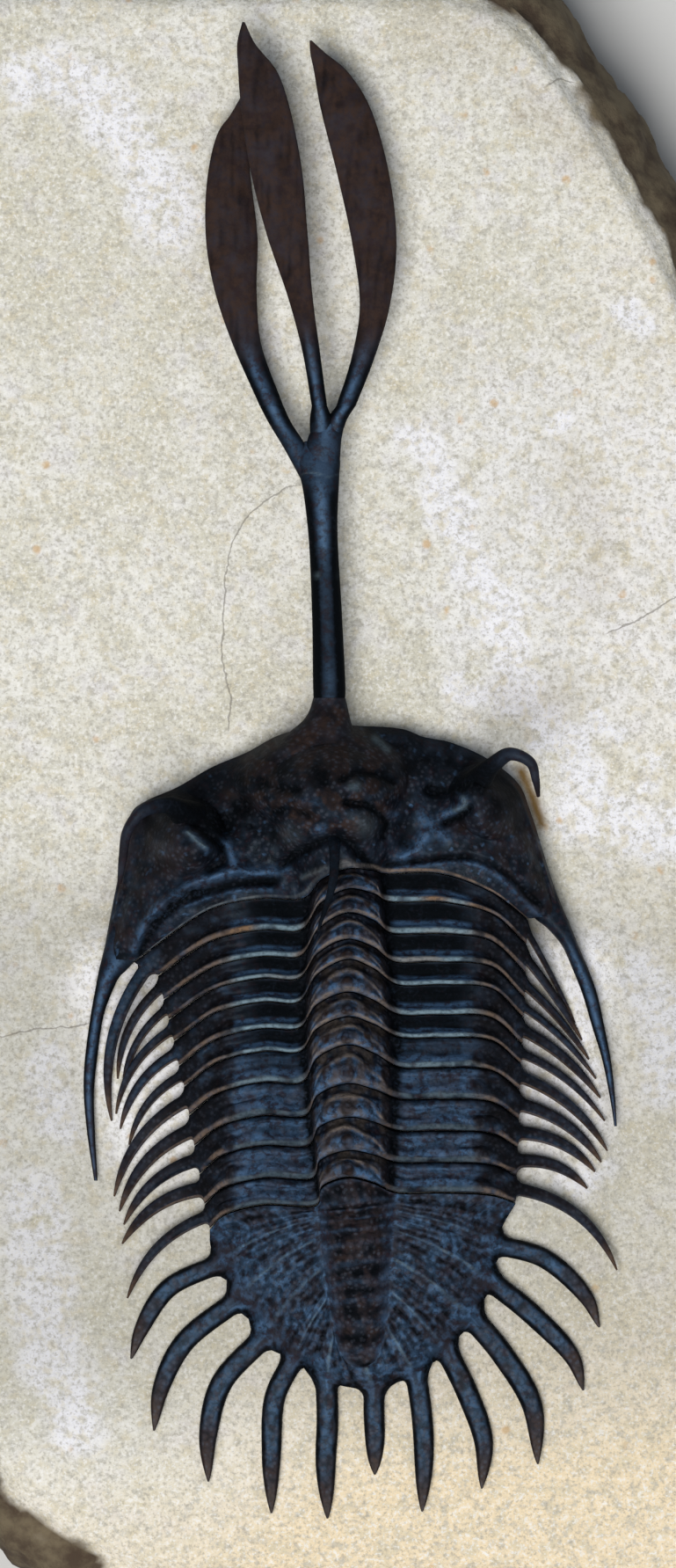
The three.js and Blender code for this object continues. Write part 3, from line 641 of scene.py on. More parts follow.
def segment_marks(marks, place, share, index, places):
    """Colours of one segment: a black furrow of painted shade, a ridge of blue painted sheen, a pale rear
    edge that is partly painted highlight, a brown axis and brown flanks.
    """
    rear_end = ramp(5.5, 8.5, index)
    front_end = 1 - rear_end
    share = share + 0.05 * noise(places, 1.6, 75 + index)
    blotches = ramp(-0.6, 0, rough(places, 1.2, 71 + index))
    mottle = ramp(-0.3, 0.4, rough(places, 0.8, 77 + index, octaves=2))
    pleura = between(1.3, 3.1, 0.3, place) + between(6.9, 8.7, 0.3, place)
    inner = between(1.65, 3.1, 0.35, place) + between(6.9, 8.55, 0.3, place)
    axis = between(3.5, 6.5, 0.25, place)
    flank = 1 - pleura - axis
    axial_furrow = bell(place - 3.2, 0.22) + bell(place - 6.8, 0.22)
    # The pale rear edge and second arc are partly pale shell and partly painted highlight on rear-facing
    # slopes
    rear_edge = ramp(0.78, 0.86, share) * (1 - ramp(0.97, 1, share))
    not_edge = 1 - rear_edge
    past_arch = behind_arch(place, share)

    strength = pleura * mix(0.24, 1, front_end) + axis * mix(0.3, 0.85, front_end) + flank * 0.6
    second_arc = axis * between(-0.05, 0.05, 0.04, past_arch) * mix(0.75, 0.6, front_end)
    faded = mix(mix(0.05, 0.3, front_end), 1, blotches)
    bloom = 0.17 * axis * ramp(2, 7, index) * mottle
    pale = np.maximum(rear_edge * strength, second_arc) * faded + bloom
    marks["pale"] = pale * (1 - 0.5 * axial_furrow)
    warm = ramp(-0.3, 0.3, noise(places, 2.5, 73 + index)) * (1 - ramp(2, 4, index))
    marks["tan"] = clamped(axis * 0.75 + flank * 0.9 + pleura * warm)

    # Painted shade in the furrows, ring fronts, ring grooves, axial furrows and down the flanks, with the
    # shell's dark lines and blotches
    furrow = between(0.02, 0.58, 0.08, share) * inner * mix(0.3 * mottle, 1, front_end)
    ring_front = between(-0.1, 0.32, 0.1, share) * axis * mix(0.3, 0.9, mottle)
    ring_groove = 0.7 * axis * between(0.1, 0.24, 0.04, past_arch)
    waves = np.sin(2 * np.pi * PLEURAL_LINES * share + 1.5 * noise(places * (0.5, 1, 1), 1.3, 81))
    lines = 0.45 * inner * rear_end * ramp(0, 0.8, waves) * not_edge
    dark_flank = mix(0.4, 0.85, blotches) * not_edge * flank
    beside_axis = 0.75 * axial_furrow * (1 - 0.5 * rear_edge)
    marks["dark"] = clamped(furrow + ring_front + ring_groove + lines + dark_flank + beside_axis)

    # Painted sheen on the ridges and on the crest of each axial ring
    ridge = between(0.6, 0.8, 0.06, share) + rear_end * ramp(0.8, 0.6, share)
    blue_ring = axis * ramp(0.25, 0.4, share) * mix(1, 0.5, mottle)
    marks["blue"] = clamped(ridge * pleura * mix(0.6 + 0.8 * mottle, 1, front_end)
                            + blue_ring + 0.3 * flank * mottle)
    brown_pleura = 0.4 * rear_end * pleura * (1 - mottle)
    marks["brown"] = clamped(0.7 * axis * mottle + 0.4 * flank + brown_pleura) * not_edge * blotches
    marks["grainy"] = 0.6 * axis + 0.35 * flank + 0.35 * pleura * rear_end


# Dark lines across each pleura of the rear segments
PLEURAL_LINES = 2.8

# Lumps on each segment: place along it, place across it, half their length and width there, height
SEGMENT_LUMPS = [
    (5, 0.72, 0.24, 0.26, 0.25), (1.25, 0.68, 0.13, 0.26, 0.22), (8.72, 0.68, 0.12, 0.25, 0.2),
    (3.55, 0.5, 0.22, 0.34, 0.4), (6.5, 0.5, 0.22, 0.34, 0.4), (4.3, 0.5, 0.16, 0.2, 0.12),
    (5.75, 0.45, 0.16, 0.2, 0.12),
]


def thorax_segment(index):
    fronts, backs = fine_edge(index - 1), fine_edge(index)
    fronts[:, 1] -= HAIRLINE / 2
    backs[:, 1] += HAIRLINE / 2
    rearward = ramp(5, 9, index)
    sections = (FRONT_PLEURA_SECTION, REAR_PLEURA_SECTION, AXIS_SECTION, SPINE_SECTION)
    front_pleura, rear_pleura, axis, spine = (finer(section, SECTION_STEPS) for section in sections)
    pleura = mix(front_pleura, rear_pleura, rearward)
    place = np.linspace(0, 10, len(fronts))[:, None]
    on_axis = ramp(3.1, 3.8, place) * (1 - ramp(6.2, 6.9, place))
    on_spine = 1 - ramp(0, 1.3, place) + ramp(8.7, 10, place)
    section = pleura + (axis - pleura) * on_axis[..., None] + (spine - pleura) * on_spine[..., None]
    share = section[..., 0]
    place = np.broadcast_to(place, share.shape)
    wander = mix(0.05, 0.16, rearward) * noise(stacked(place, 2 * share, index), 0.8, 79)
    drawn = share + wander * np.sin(np.pi * share)
    top = mix(fronts[:, None], backs[:, None], drawn[..., None])
    top[..., 2] += section[..., 1] + 0.14 * bell(behind_arch(place, share), 0.1) * on_axis
    lumps = np.zeros(share.shape)
    for at, level, wide, long, height in SEGMENT_LUMPS:
        lump = ramp(1.25, 0.6, np.hypot((place - at) / wide, (share - level) / long))
        top[..., 2] += height * lump
        lumps = np.maximum(lumps, lump)
    uneven = rough(top * (0.6, 1, 1), 0.6, 11 * index, octaves=2)
    top[..., 2] += mix(0.05, 0.14, np.maximum(on_axis, ramp(6, 9, index))) * uneven
    stone_under = np.maximum(ground(*fronts[:, :2].T), ground(*backs[:, :2].T)) + FLOOR_GAP
    under = [stacked(*edge[:, :2].T, stone_under)[:, None] for edge in (backs, fronts)]
    plate = np.concatenate([top, *under], axis=1)

    marks = no_marks(share.shape)
    segment_marks(marks, place, share, index, top * (1, 1, 0))
    on_lumps = lumps * mix(0.45, 1, ramp(-0.3, 0.4, uneven))
    for mark in ("pale", "blue", "dark"):
        marks[mark] *= 1 - 0.85 * on_lumps
    at_least(marks, brown=on_lumps * mix(0.55, 1, on_axis), dark=on_lumps * mix(0.75, 0.5, on_axis))
    bare = np.zeros((len(fronts), 2))
    plate_marks = {name: np.hstack([values, bare]) for name, values in marks.items()}

    along_body = (index - 1) / (SEGMENTS - 1)
    rings, ring_marks = [plate], [plate_marks]
    for end, tips, bow in ((0, LEFT_TIPS, LEFT_SPINE_BOW), (-1, RIGHT_TIPS, RIGHT_SPINE_BOW)):
        root = mix(fronts[end], backs[end], 0.5)
        made, t = spine_rings(root, tips[index - 1], mix(*bow, along_body), plate[end], spine.T)
        # The spine takes the marks of the plate's end, painted shade and sheen included. The pale and dark
        # marks fade along it, and the tips turn browner and paler
        pleural_spine_marks = {name: np.tile(values[end], (len(t), 1)) for name, values in plate_marks.items()}
        pleural_spine_marks["pale"] *= 1 - 0.7 * ramp(0.2, 0.8, t)
        pleural_spine_marks["dark"] *= 1 - 0.5 * ramp(0, 0.3, t)
        at_least(pleural_spine_marks, pale=0.35 * ramp(0.75, 0.95, t), brown=0.9 * ramp(0.4, 1, t), tan=ramp(0.1, 0.6, t))
        first, order = (0, -1) if end == 0 else (len(rings), 1)
        rings.insert(first, made[::order])
        ring_marks.insert(first, {name: values[::order] for name, values in pleural_spine_marks.items()})
    joined = {name: np.vstack([part[name] for part in ring_marks]) for name in SHELL_MARKS}
    return loft(np.concatenate(rings), joined)


# The head

# Height, width, mark, strength and line of each ridge or groove of the head. The dark strokes are painted
# shade in grooves, pits and slits and at the eye spines' roots. The blue and pale ones are painted sheen and
# highlights on lids, lobes and ridges
HEAD_STROKES = [
    # Left eye: rim groove, lid highlight, pits in front of it, ridges behind
    (-0.55, 0.26, "dark", 1, [(-8.4, -2.0), (-7.3, -2.9), (-6.55, -3.7), (-6.6, -4.4), (-7.3, -4.9)]),
    (0.25, 0.22, "blue", 1, [(-8.5, -2.65), (-8, -3.1), (-7.45, -3.6)]),
    (0.1, 0.12, "pale", 0.45, [(-8.5, -2.75), (-8, -3.2), (-7.5, -3.6)]),
    (-0.75, 0.75, "dark", 1, [(-8, -1.7), (-7.2, -2.0), (-6.3, -2.4)]),
    (-0.4, 0.6, "brown", 0.9, [(-6.1, -0.7), (-5.3, -1.1)]),
    (-0.35, 0.5, "dark", 0.7, [(-5.6, -1.4), (-4.6, -2.1)]),
    (0.28, 0.3, "blue", 1, [(-6.4, -3.4), (-6, -4.1), (-5.8, -4.9)]),
    (0.3, 0.26, "blue", 1, [(-11.6, -9.4), (-11, -8), (-10, -6.8), (-8.6, -5.8), (-7, -5.2), (-5.7, -4.9),
                            (-4.6, -5.05), (-3.7, -4.95), (-3, -4.8)]),
    (0.15, 0.5, "blue", 0.8, [(-10.6, -8), (-9.4, -6.6), (-8, -5.8)]),
    (-0.3, 0.3, "dark", 1, [(-11.2, -9.6), (-10.2, -7.9), (-8.8, -6.6), (-7.2, -6), (-5.2, -5.6),
                            (-3.6, -5.55)]),
    (0.12, 0.14, "blue", 0.8, [(-8.6, -6.9), (-7, -6.35), (-5.2, -5.95), (-3.8, -5.95)]),
    (1.3, 0.75, "dark", 0.4, [(-8.8, -1.5), (-9.2, -1.3)]),
    # Glabella: left and right hind lobes, furrows, occipital furrow and ring
    (0.5, 0.55, "brown", 1, [(-2.8, -2.8), (-2.6, -3.0)]),
    (0.6, 0.65, "brown", 1, [(1.45, -2.25), (1.6, -2.35)]),
    (0, 0.5, "pale", 0.12, [(-2.8, -2.8), (-2.6, -3.0)]),
    (0, 0.55, "pale", 0.16, [(1.45, -2.25), (1.6, -2.35)]),
    (-0.42, 0.22, "dark", 1, [(0.2, 0.2), (1, 0.65), (2, 0.6), (3.1, 0.1)]),
    (-0.5, 0.22, "dark", 1, [(0.4, -1.05), (1.3, -1.15), (2.1, -1.5), (2.7, -2.2), (2.6, -3)]),
    (0.2, 0.25, "pale", 0.3, [(0.8, -0.1), (1.05, -0.15)]),
    (-0.65, 0.3, "dark", 1, [(-3.2, -4.7), (-2, -3.75), (-0.7, -3.15), (0.4, -3.2), (1.2, -3.9),
                             (2.1, -4.8)]),
    (0.15, 0.16, "pale", 0.3, [(-2, -5.3), (-1.3, -5), (-0.7, -4.75)]),
    (0.15, 0.16, "pale", 0.5, [(-0.1, -4.5), (0.6, -4.4), (1.5, -5)]),
    (-0.35, 0.35, "dark", 0.6, [(-4.9, -2.3), (-3.9, -2.5), (-3.3, -3.6)]),
    (-0.35, 0.25, "dark", 0.5, [(-4.3, 0.2), (-3.3, -0.3), (-2.2, -0.3)]),
    (-0.35, 0.25, "dark", 0.6, [(-3.6, -1.5), (-2.6, -1.5), (-1.7, -1.8)]),
    (-0.3, 0.4, "dark", 0.6, [(-0.9, 1.2), (-0.7, 0.2), (-0.3, -1.2)]),
    (0.2, 0.25, "blue", 0.6, [(-2, -1.1), (-1.2, -1.1)]),
    (0.2, 0.22, "blue", 0.8, [(-1.2, -2.6), (-0.8, -2.5)]),
    (0.3, 0.2, "pale", 0.35, [(2.1, 2.6), (2.8, 1.95)]),
    (0.2, 0.25, "blue", 0.9, [(2.9, -1.7), (3.2, -1.8)]),
    (0.5, 1.6, "brown", 0.8, [(-0.8, 0.6), (-0.75, 2.6)]),
    # Right eye: lid highlight, groove under it, slit by the spine's base, ridges behind
    (1.2, 0.8, "dark", 0.4, [(7.8, 0), (8.2, 0.4)]),
    (0.25, 0.28, "blue", 1, [(7.1, -0.8), (7.2, -1.2), (6.6, -1.5), (5.9, -1.85)]),
    (0.1, 0.14, "pale", 0.5, [(7.1, -0.8), (7.2, -1.2), (6.6, -1.5)]),
    (-0.6, 0.22, "dark", 1, [(7.5, -1.3), (6.9, -1.8), (6.1, -2.2)]),
    (-0.1, 0.4, "brown", 1, [(6.3, -2.4), (7, -2.4)]),
    (-0.6, 0.36, "dark", 1, [(8.6, 0.35), (9.6, 0), (10.5, -0.45)]),
    (-0.5, 0.4, "dark", 0.8, [(5.2, -0.4), (6.2, -0.4), (6.9, -0.2)]),
    (-0.3, 0.5, "dark", 0.6, [(3.4, -2.6), (3.8, -3.4)]),
    (0.25, 0.36, "blue", 1, [(4.8, -1.9), (5.3, -2.4), (6, -2.95)]),
    (0.3, 0.34, "blue", 1, [(5, -2.9), (4.4, -3.6), (3.6, -4.2)]),
    (0.12, 0.16, "blue", 0.7, [(3.2, -4.8), (5.5, -4.5), (7.6, -4.5), (9.2, -5.3), (10.4, -6.5),
                               (11.4, -7.4)]),
    (-0.22, 0.2, "dark", 0.8, [(2.8, -4.6), (5.4, -4.25), (7.6, -4.2), (9.3, -4.9), (10.7, -6.2),
                               (11.6, -7)]),
]


def eye_swelling(x, y, centre, side):
    """An eye: steep along the lid's inner side, with a wide seeing surface of lenses sloping out."""
    dx, dy = (x - centre[0]) * side, y - centre[1]
    turn = np.arctan2(dy, dx)
    facing = ramp(-0.5, 0.5, np.cos(turn))
    out = np.hypot(dx, dy) / mix(EYE_REACH, EYE_REACH + 0.5, facing)
    height = EYE_HEIGHT * clamped(1 - out ** mix(3, 2, facing)) ** mix(0.7, 1.3, facing)
    row = (out - 0.3) / 0.08
    lens = np.abs(np.sin(np.pi * row)) * np.maximum(0, np.cos(30 * turn + np.pi * np.floor(row)))
    seeing = facing * between(0.35, 0.95, 0.06, out)
    return height + 0.04 * lens * facing * between(0.62, 0.92, 0.04, out), seeing


def glabella(x, y):
    """The swollen middle of the head, wide in front; also how far out a place lies, 1 on its edge."""
    middle = mix(-0.1, -1.0, ramp(-4, 0.2, y))
    half = mix(2.3, 5.0, ramp(-4, 0.3, y))
    ahead = np.maximum(0, y - 0.2) / 3.3
    out = np.hypot((x - middle) / half, ahead)
    height = mix(0.8, GLABELLA_HEIGHT, ramp(-4, -0.6, y))
    steepness = 0.7 + 0.25 * ramp(-1.5, 1.5, y) + 0.6 * ramp(-3, -4.5, y)
    return height * clamped(1 - out ** 2.4) ** steepness, out, half


def brown_patches(x, y):
    """How brown the shell is over the glabella and the foot of the trident."""
    return ramp(-0.2, 0.25, rough(stacked(x, y, 0), 0.9, 8))


def trident_foot(x, y, z):
    """The height with the foot of the trident rising smoothly out of the head, and where the foot is."""
    rows = np.array(TRIDENT_BASE).T
    left, right, middle_z, thickness = (np.interp(y, rows[0], row) for row in rows[1:])
    out = np.abs(2 * x - left - right) / (right - left)
    cover = mix(0.06, -0.3, ramp(1.9, 3.1, y))
    lift = np.maximum(0, middle_z + thickness / 2 + cover - z)
    on_foot = ramp(1.6, 1, out) * ramp(0.5, 1.8, y)
    return z + lift * ramp(1.7, 0.6, out) * ramp(-1.5, 1.2, y), on_foot


def head_shield():
    rear = finer(plate_edge(0), HEAD_STEPS)
    rear[:, 1] += HAIRLINE / 2
    from_corner = 1 - np.abs(np.linspace(-1, 1, len(rear)))
    rear[:, 2] -= GENAL_DROP * (1 - ramp(0, 0.16, from_corner))
    front = spaced(HEAD_EDGE, len(rear))

    def plan(share):
        """Places in plan at a share of the way from the rear edge to the free edge."""
        return mix(rear[:, :1], front[:, :1], share), mix(rear[:, 1:2], front[:, 1:2], share)

    share = np.linspace(0, 1, HEAD_ROWS + 1)[None, :]
    x, y = plan(share)
    rim = ground(front[:, :1], front[:, 1:2]) + HEAD_RIM_ABOVE_STONE
    z = mix(rear[:, 2:], rim, share ** 3)
    inside = 1 - share ** 10
    marks = no_marks(x.shape)

    swollen, out, half = glabella(x, y)
    left_eye, left_seeing = eye_swelling(x, y, LEFT_EYE, -1)
    right_eye, right_seeing = eye_swelling(x, y, RIGHT_EYE, 1)
    z = z + (swollen + left_eye + right_eye) * inside
    z = z - 0.25 * bell((out - 1) * half, 0.45) * inside * ramp(1, -1.5, y)
    z = z - 0.15 * bell(share - 0.87, 0.05) + 0.1 * bell(share - 0.95, 0.03)
    carve(HEAD_STROKES, x, y, z, marks)
    places = stacked(x, y, 0)
    within = ramp(0.02, 0.1, share) * inside
    dents = rough(places, 1.1, 6, octaves=2)
    z = z + 0.12 * dents * within
    raised, on_foot = trident_foot(x, y, z)
    z = mix(z, raised, 1 - share ** 30)

    patches = brown_patches(x, y)
    brownness = mix(0.35, 0.85, patches)
    on_glabella = ramp(1.15, 0.75, out) * ramp(-3.8, -2, y)
    seeing = clamped(left_seeing + right_seeing)
    cheek = ramp(7, 9, np.abs(x)) * ramp(0.1, 0.4, share)
    fringe = between(-2.9, 0.3, 0.5, y) * ramp(8.8, 9.4, x) * ramp(0.94, 0.97, share)
    at_least(marks, brown=np.maximum(on_glabella * patches, np.maximum(seeing * 0.6, cheek * patches * 0.5)))
    marks["brown"] = mix(marks["brown"] * brownness, brownness, on_foot)
    # Painted shade: darker in the dents and down the front margin, with the darker tone of the glabella
    # outside its brown patches and of the cheeks
    shade = ramp(0.3, -0.5, dents) + 0.5 * (1 - patches) * on_glabella + 0.4 * cheek
    front_margin = 0.6 * ramp(0.55, 0.85, share) * ramp(-4, -1, y)
    dark = clamped(marks["dark"] + 0.42 * shade * within + front_margin)
    marks["dark"] = mix(dark, 0.25 + 0.3 * (1 - patches), on_foot) * (1 - 0.3 * fringe)
    # The pale rear border is partly painted highlight, and the blue flecks are painted sheen
    broken = mix(0.35, 1, ramp(-0.3, 0.2, rough(places, 1.1, 7, octaves=2)))
    rear_edge = between(0.01, 0.035, 0.008, share) * mix(0.45, 0.85, ramp(0, 3, x)) * broken
    flecks = ramp(0.5, 0.65, noise(places, 0.34, 9))
    at_least(marks, brown=fringe, blue=mix(0.75, 0.4, on_glabella) * flecks)
    at_least(marks, pale=np.maximum(fringe * 0.12, rear_edge))
    marks["tan"] = np.maximum(fringe, (share < 0.1) * mix(0.35, 0.85, ramp(-2, 4, x)))
    marks["grainy"] = mix(0.35, 0.5, on_glabella) * within

    floor_x, floor_y = plan(share[:, ::-10])
    under = stacked(floor_x, floor_y, ground(floor_x, floor_y) + FLOOR_GAP)
    rings = np.concatenate([stacked(x, y, z), under], axis=1)
    bare = np.zeros(floor_x.shape)
    return loft(rings, {name: np.hstack([values, bare]) for name, values in marks.items()})


# Colours along a round spine, at the shares t. Blue is painted sheen, and the dark at an eye spine's root
# is painted shade where it rises from the head

def bluish(t):
    return {"blue": 0.3 * ramp(0.2, 0.5, t) * (1 - t), "brown": 0.4 * t,
            "dark": mix(0.95, 0.2, ramp(0.3, 0.6, t))}


def blackish(t):
    return {"dark": 0.8 + 0 * t, "blue": 0.2 * (1 - t)}


# Colours of a flat piece, at places in plan and from -1 to 1 across it. Blue along the middle is painted
# sheen, and dark toward the edges is painted shade down the rounded sides

def base_marks(x, y, across):
    patches = brown_patches(x, y)
    # The blue by the stem's joint is a painted highlight
    return {"brown": mix(0.35, 0.85, patches), "dark": 0.25 + 0.3 * (1 - patches), "grainy": 0.3,
            "blue": 0.5 * ramp(4.2, 4.8, y) * bell(across + 0.1, 0.4)}


def genal_marks(x, y, across):
    # Blue along the middle is painted sheen, and the dark edges are painted shade
    return {"blue": 0.8 * bell(across + 0.1, 0.45) * ramp(-8, -11, y), "brown": 0.4 * ramp(-16, -20, y),
            "dark": ramp(0.4, 0.85, np.abs(across)) * ramp(-9, -12, y)}


def streak_marks(across, narrow, lit=1):
    """A painted highlight along the middle between edges of painted shade where the piece is narrow, and an
    even painted sheen of blue elsewhere.
    """
    edges = ramp(0.55, 0.95, np.abs(across))
    dark_sides = ramp(0.25, 0.7, np.abs(across)) + 0.6 * (1 - lit)
    return {"blue": mix(0.32 * bell(across, 0.75), 0.85 * lit * bell(across, 0.36), narrow),
            "pale": 0.12 * lit ** 2 * bell(across - 0.03, 0.16) * narrow,
            "dark": mix(0.6 * edges, dark_sides, narrow)}


def stem_marks(x, y, across):
    # How strongly the painted highlight and sheen show along the stem
    lit = mix(0.3, 1, ramp(11.8, 13.8, y)) + 0.15 * bell(y - 6, 1)
    marks = streak_marks(across, 1 - ramp(15.8, 17.8, y), lit)
    for joint in (11.8, 17.6):
        marks["pale"] += 0.35 * bell(y - joint - 0.1 * np.sin(3 * x), 0.05) * bell(across, 0.7)
    return marks


def fork_marks(x, y, across):
    return streak_marks(across, ramp(19, 21, y))


def tine_marks(x, y, across):
    brown = ramp(22.5, 27, y + 0.8 * noise(stacked(x, y, 0), 1.5, 23))
    streaks = noise(stacked(x * 2.2, y * 0.25, 0), 0.6, 21)
    blotches = rough(stacked(x, y, 0), 1.8, 25)
    # The dark edges are painted shade and the blue along the middle is painted sheen. The brown, streaks and
    # blotches are the tines' own colour
    edges = ramp(0.3, 0.8, np.abs(across))
    return {"brown": brown * mix(0.75, 1, ramp(-0.4, 0.4, blotches)),
            "blue": 0.7 * (1 - brown) * bell(across + 0.1, 0.35),
            "dark": mix(edges, 0.5 * ramp(0, 0.8, -streaks), brown) + 0.35 * brown * ramp(0.1, 0.6, blotches)}


def cephalon():
    parts = [
        head_shield(),
        round_spine(LEFT_EYE_SPINE, bluish),
        round_spine(RIGHT_EYE_SPINE, bluish),
        round_spine(OCCIPITAL_SPINE, blackish),
        blade(LEFT_GENAL_SPINE, genal_marks),
        blade(RIGHT_GENAL_SPINE, genal_marks),
        blade(TRIDENT_BASE, base_marks),
    ]
    build_piece("head_shell", ["cephalon"], parts, SHELL)


def trident():
    forks = (FORK_LEFT, FORK_MIDDLE_AND_RIGHT, FORK_MIDDLE, FORK_RIGHT)
    stem = [blade(TRIDENT_STEM, stem_marks)] + [blade(rows, fork_marks) for rows in forks]
    build_piece("trident_stem_shell", ["trident_shaft"], stem, SHELL)
    for side, rows in (("left", LEFT_TINE), ("middle", MIDDLE_TINE), ("right", RIGHT_TINE)):
        tine = [blade(rows, tine_marks, sides=44)]
        build_piece(f"trident_{side}_blade", [f"trident_{side}_tine"], tine, SHELL)


# The tail

def tail_floor(points):
    under = points.copy()
    under[..., 2] = ground(points[..., 0], points[..., 1]) + FLOOR_GAP
    return under


def tail_furrow_height(y):
    """Height of the furrow round the axis, which sinks toward the rear."""
    return mix(FURROW_TOP[1], TAIL_FURROW_END, clamped((TAIL_FRONT - y) / TAIL_LENGTH) ** 1.2)


def tail_columns():
    """Inner and outer ends of the tail's columns, and their places counted in notches from the left."""
    last_edge = plate_edge(SEGMENTS)
    inner = spaced(TAIL_FURROW, TAIL_SAMPLES)
    outer = spaced([last_edge[0][:2], *TAIL_EDGE, last_edge[-1][:2]], TAIL_SAMPLES)
    notches = [np.argmin(np.linalg.norm(outer - notch, axis=1)) for notch in TAIL_EDGE]
    stops = [0, *notches, TAIL_SAMPLES - 1]
    steps = TAIL_SECTOR_COLUMNS * np.arange(len(stops))
    at = np.interp(np.arange(steps[-1] + 1), steps, stops)
    samples = np.arange(TAIL_SAMPLES)
    back = 1 - np.abs(2 * at / (TAIL_SAMPLES - 1) - 1)
    gathered = TAIL_RIB_SLANT * back ** 2 + (1 - TAIL_RIB_SLANT) * back
    inner_at = (TAIL_SAMPLES - 1) / 2 * np.where(2 * at < TAIL_SAMPLES - 1, gathered, 2 - gathered)
    inner, outer = (np.stack([np.interp(along, samples, column) for column in line.T], axis=-1)
                    for along, line in ((inner_at, inner), (at, outer)))
    rib = np.interp(at, stops, [-0.4, *range(len(TAIL_EDGE)), len(TAIL_EDGE) - 0.6])
    return inner, outer, rib


def tail_field(inner, outer, rib):
    """Both ribbed sides of the tail in one strip round the axis, each column along a rib to the edge."""
    turn = np.linspace(0, 1, len(inner))[:, None]
    rear = 1 - np.abs(2 * turn - 1)
    share = np.linspace(0, 1, TAIL_ROWS + 1)[None, :]
    bend = mix(inner, outer, np.hstack([mix(0.65, 0.5, rear), mix(0.2, 0.5, rear)]))
    x, y = np.moveaxis(bent(inner[:, None], bend[:, None], outer[:, None], share[..., None]), -1, 0)
    furrow = tail_furrow_height(inner[:, 1:2])
    in_notch = np.abs(1 - 2 * np.abs(rib - np.round(rib)))[:, None]
    rim_height = mix(TAIL_RIM_ABOVE_STONE, TAIL_NOTCH_ABOVE_STONE, in_notch ** 3)
    rim = ground(outer[:, :1], outer[:, 1:2]) + rim_height
    z = mix(furrow, rim, share ** 2.2) + mix(0.4, 0.1, rear) * np.sin(np.pi * share) ** 1.5
    phase = 2 * np.pi * (rib[:, None] - 0.5)
    places = stacked(x, y, 0)
    mottle = rough(places, 0.8, 31, octaves=2)
    ribs = 0.4 * np.cos(phase) + 0.5 * np.cos(2 * phase + 0.6) + 0.5 * np.cos(4 * phase + mottle)
    ribbed = ramp(0, 0.08, share) * (1 - ramp(0.7, 0.95, share))
    z = z + 0.09 * ribs * ribbed + 0.09 * mottle * (1 - share ** 8)
    points = stacked(x, y, z)
    lip = fine_edge(SEGMENTS) - (0, 0, TAIL_LIP_DROP)
    for end, edge in ((0, lip[TAIL_ROWS::-1]), (-1, lip[-TAIL_ROWS - 1:])):
        near = 1 - ramp(0, 0.09, turn if end == 0 else 1 - turn)
        points += near[..., None] * (edge - points[end])

    marks = no_marks(x.shape)
    crest = ramp(0.1, 1.1, ribs) * ribbed
    patches = ramp(-0.3, 0.3, rough(places, 1.5, 33))
    to_edge = (1 - share) * np.hypot(x[:, -1:] - x[:, :1], y[:, -1:] - y[:, :1])
    notch_rim = bell(to_edge, 0.3) * ramp(0.3, 0.7, in_notch)
    spots = ramp(-0.3, 0.4, rough(places, 0.36, 32, octaves=2))
    # Blue is painted sheen, strongest on the rib crests. Dark is painted shade in the rib grooves and at the
    # notch rims, with darker spots of the shell. Pale is painted highlight on the crests
    marks["blue"] = clamped(0.42 + 0.5 * spots + 0.4 * crest) * mix(1, 0.65, patches)
    grooves = ramp(0.2, -0.7, ribs) * ribbed
    marks["dark"] = clamped(0.7 * grooves * mix(0.5, 1, patches) + 0.35 * (1 - spots) + notch_rim)
    marks["brown"] = 0.6 * patches * (1 - 0.6 * spots) * (1 - 0.6 * crest)
    marks["pale"] = mix(0.15, 0.45, rear) * ramp(0.7, 1.3, ribs) * ribbed * (1 - 0.7 * patches)
    marks["grainy"] = 0.5 * ribbed + 0 * x
    return points, marks


def tail_axis(field):
    """The ringed axis of the tail, between the two sides of its outline."""
    half_way = len(field) // 2
    left = field[:half_way + 1, :1]
    right = field[::-1][:half_way + 1, :1]
    across = np.linspace(-1, 1, 2 * SEGMENT_STEPS + 1)[None, :, None]
    along = np.linspace(0, 1, half_way + 1)[:, None]
    points = mix(left, right, (across + 1) / 2)
    across = across[..., 0]
    dome = clamped(1 - across ** 2) ** 1.1
    places = points * (1, 1, 0)
    rings = np.sin(2 * np.pi * TAIL_RINGS * along ** 0.9 + noise(places, 1, 36))
    height = mix(1.4, 0.6, along) * (1 - ramp(0.8, 1, along)) ** 0.5
    height = height + 0.09 * rings * (1 - ramp(0.8, 0.95, along))
    points[..., 2] += height * dome + 0.16 * rough(places, 0.6, 35, octaves=2) * dome ** 0.3
    lip = fine_edge(SEGMENTS)[TAIL_ROWS:-TAIL_ROWS:2] - (0, 0, TAIL_LIP_DROP)
    points += (1 - ramp(0, 0.12, along))[..., None] * (lip - points[0])

    marks = no_marks(points.shape[:2])
    patches = ramp(-0.35, 0.25, rough(places, 0.8, 37))
    middle = ramp(0, 0.7, dome + 0.3 * noise(places, 0.8, 38))
    # Dark is painted shade in the ring furrows, with the shell's dark patches in the middle. Blue is painted
    # sheen on the ring crests and the sides
    marks["brown"] = mix(0.15, 0.6, patches * middle)
    marks["dark"] = clamped(ramp(0, -1, rings) * 0.4 + 0.6 * (1 - patches) * middle)
    marks["blue"] = 0.35 * (1 - middle) + 0.5 * ramp(0.3, 1, rings) * (1 - 0.6 * patches)
    marks["grainy"] = 0.25 + 0.3 * middle
    return points, marks


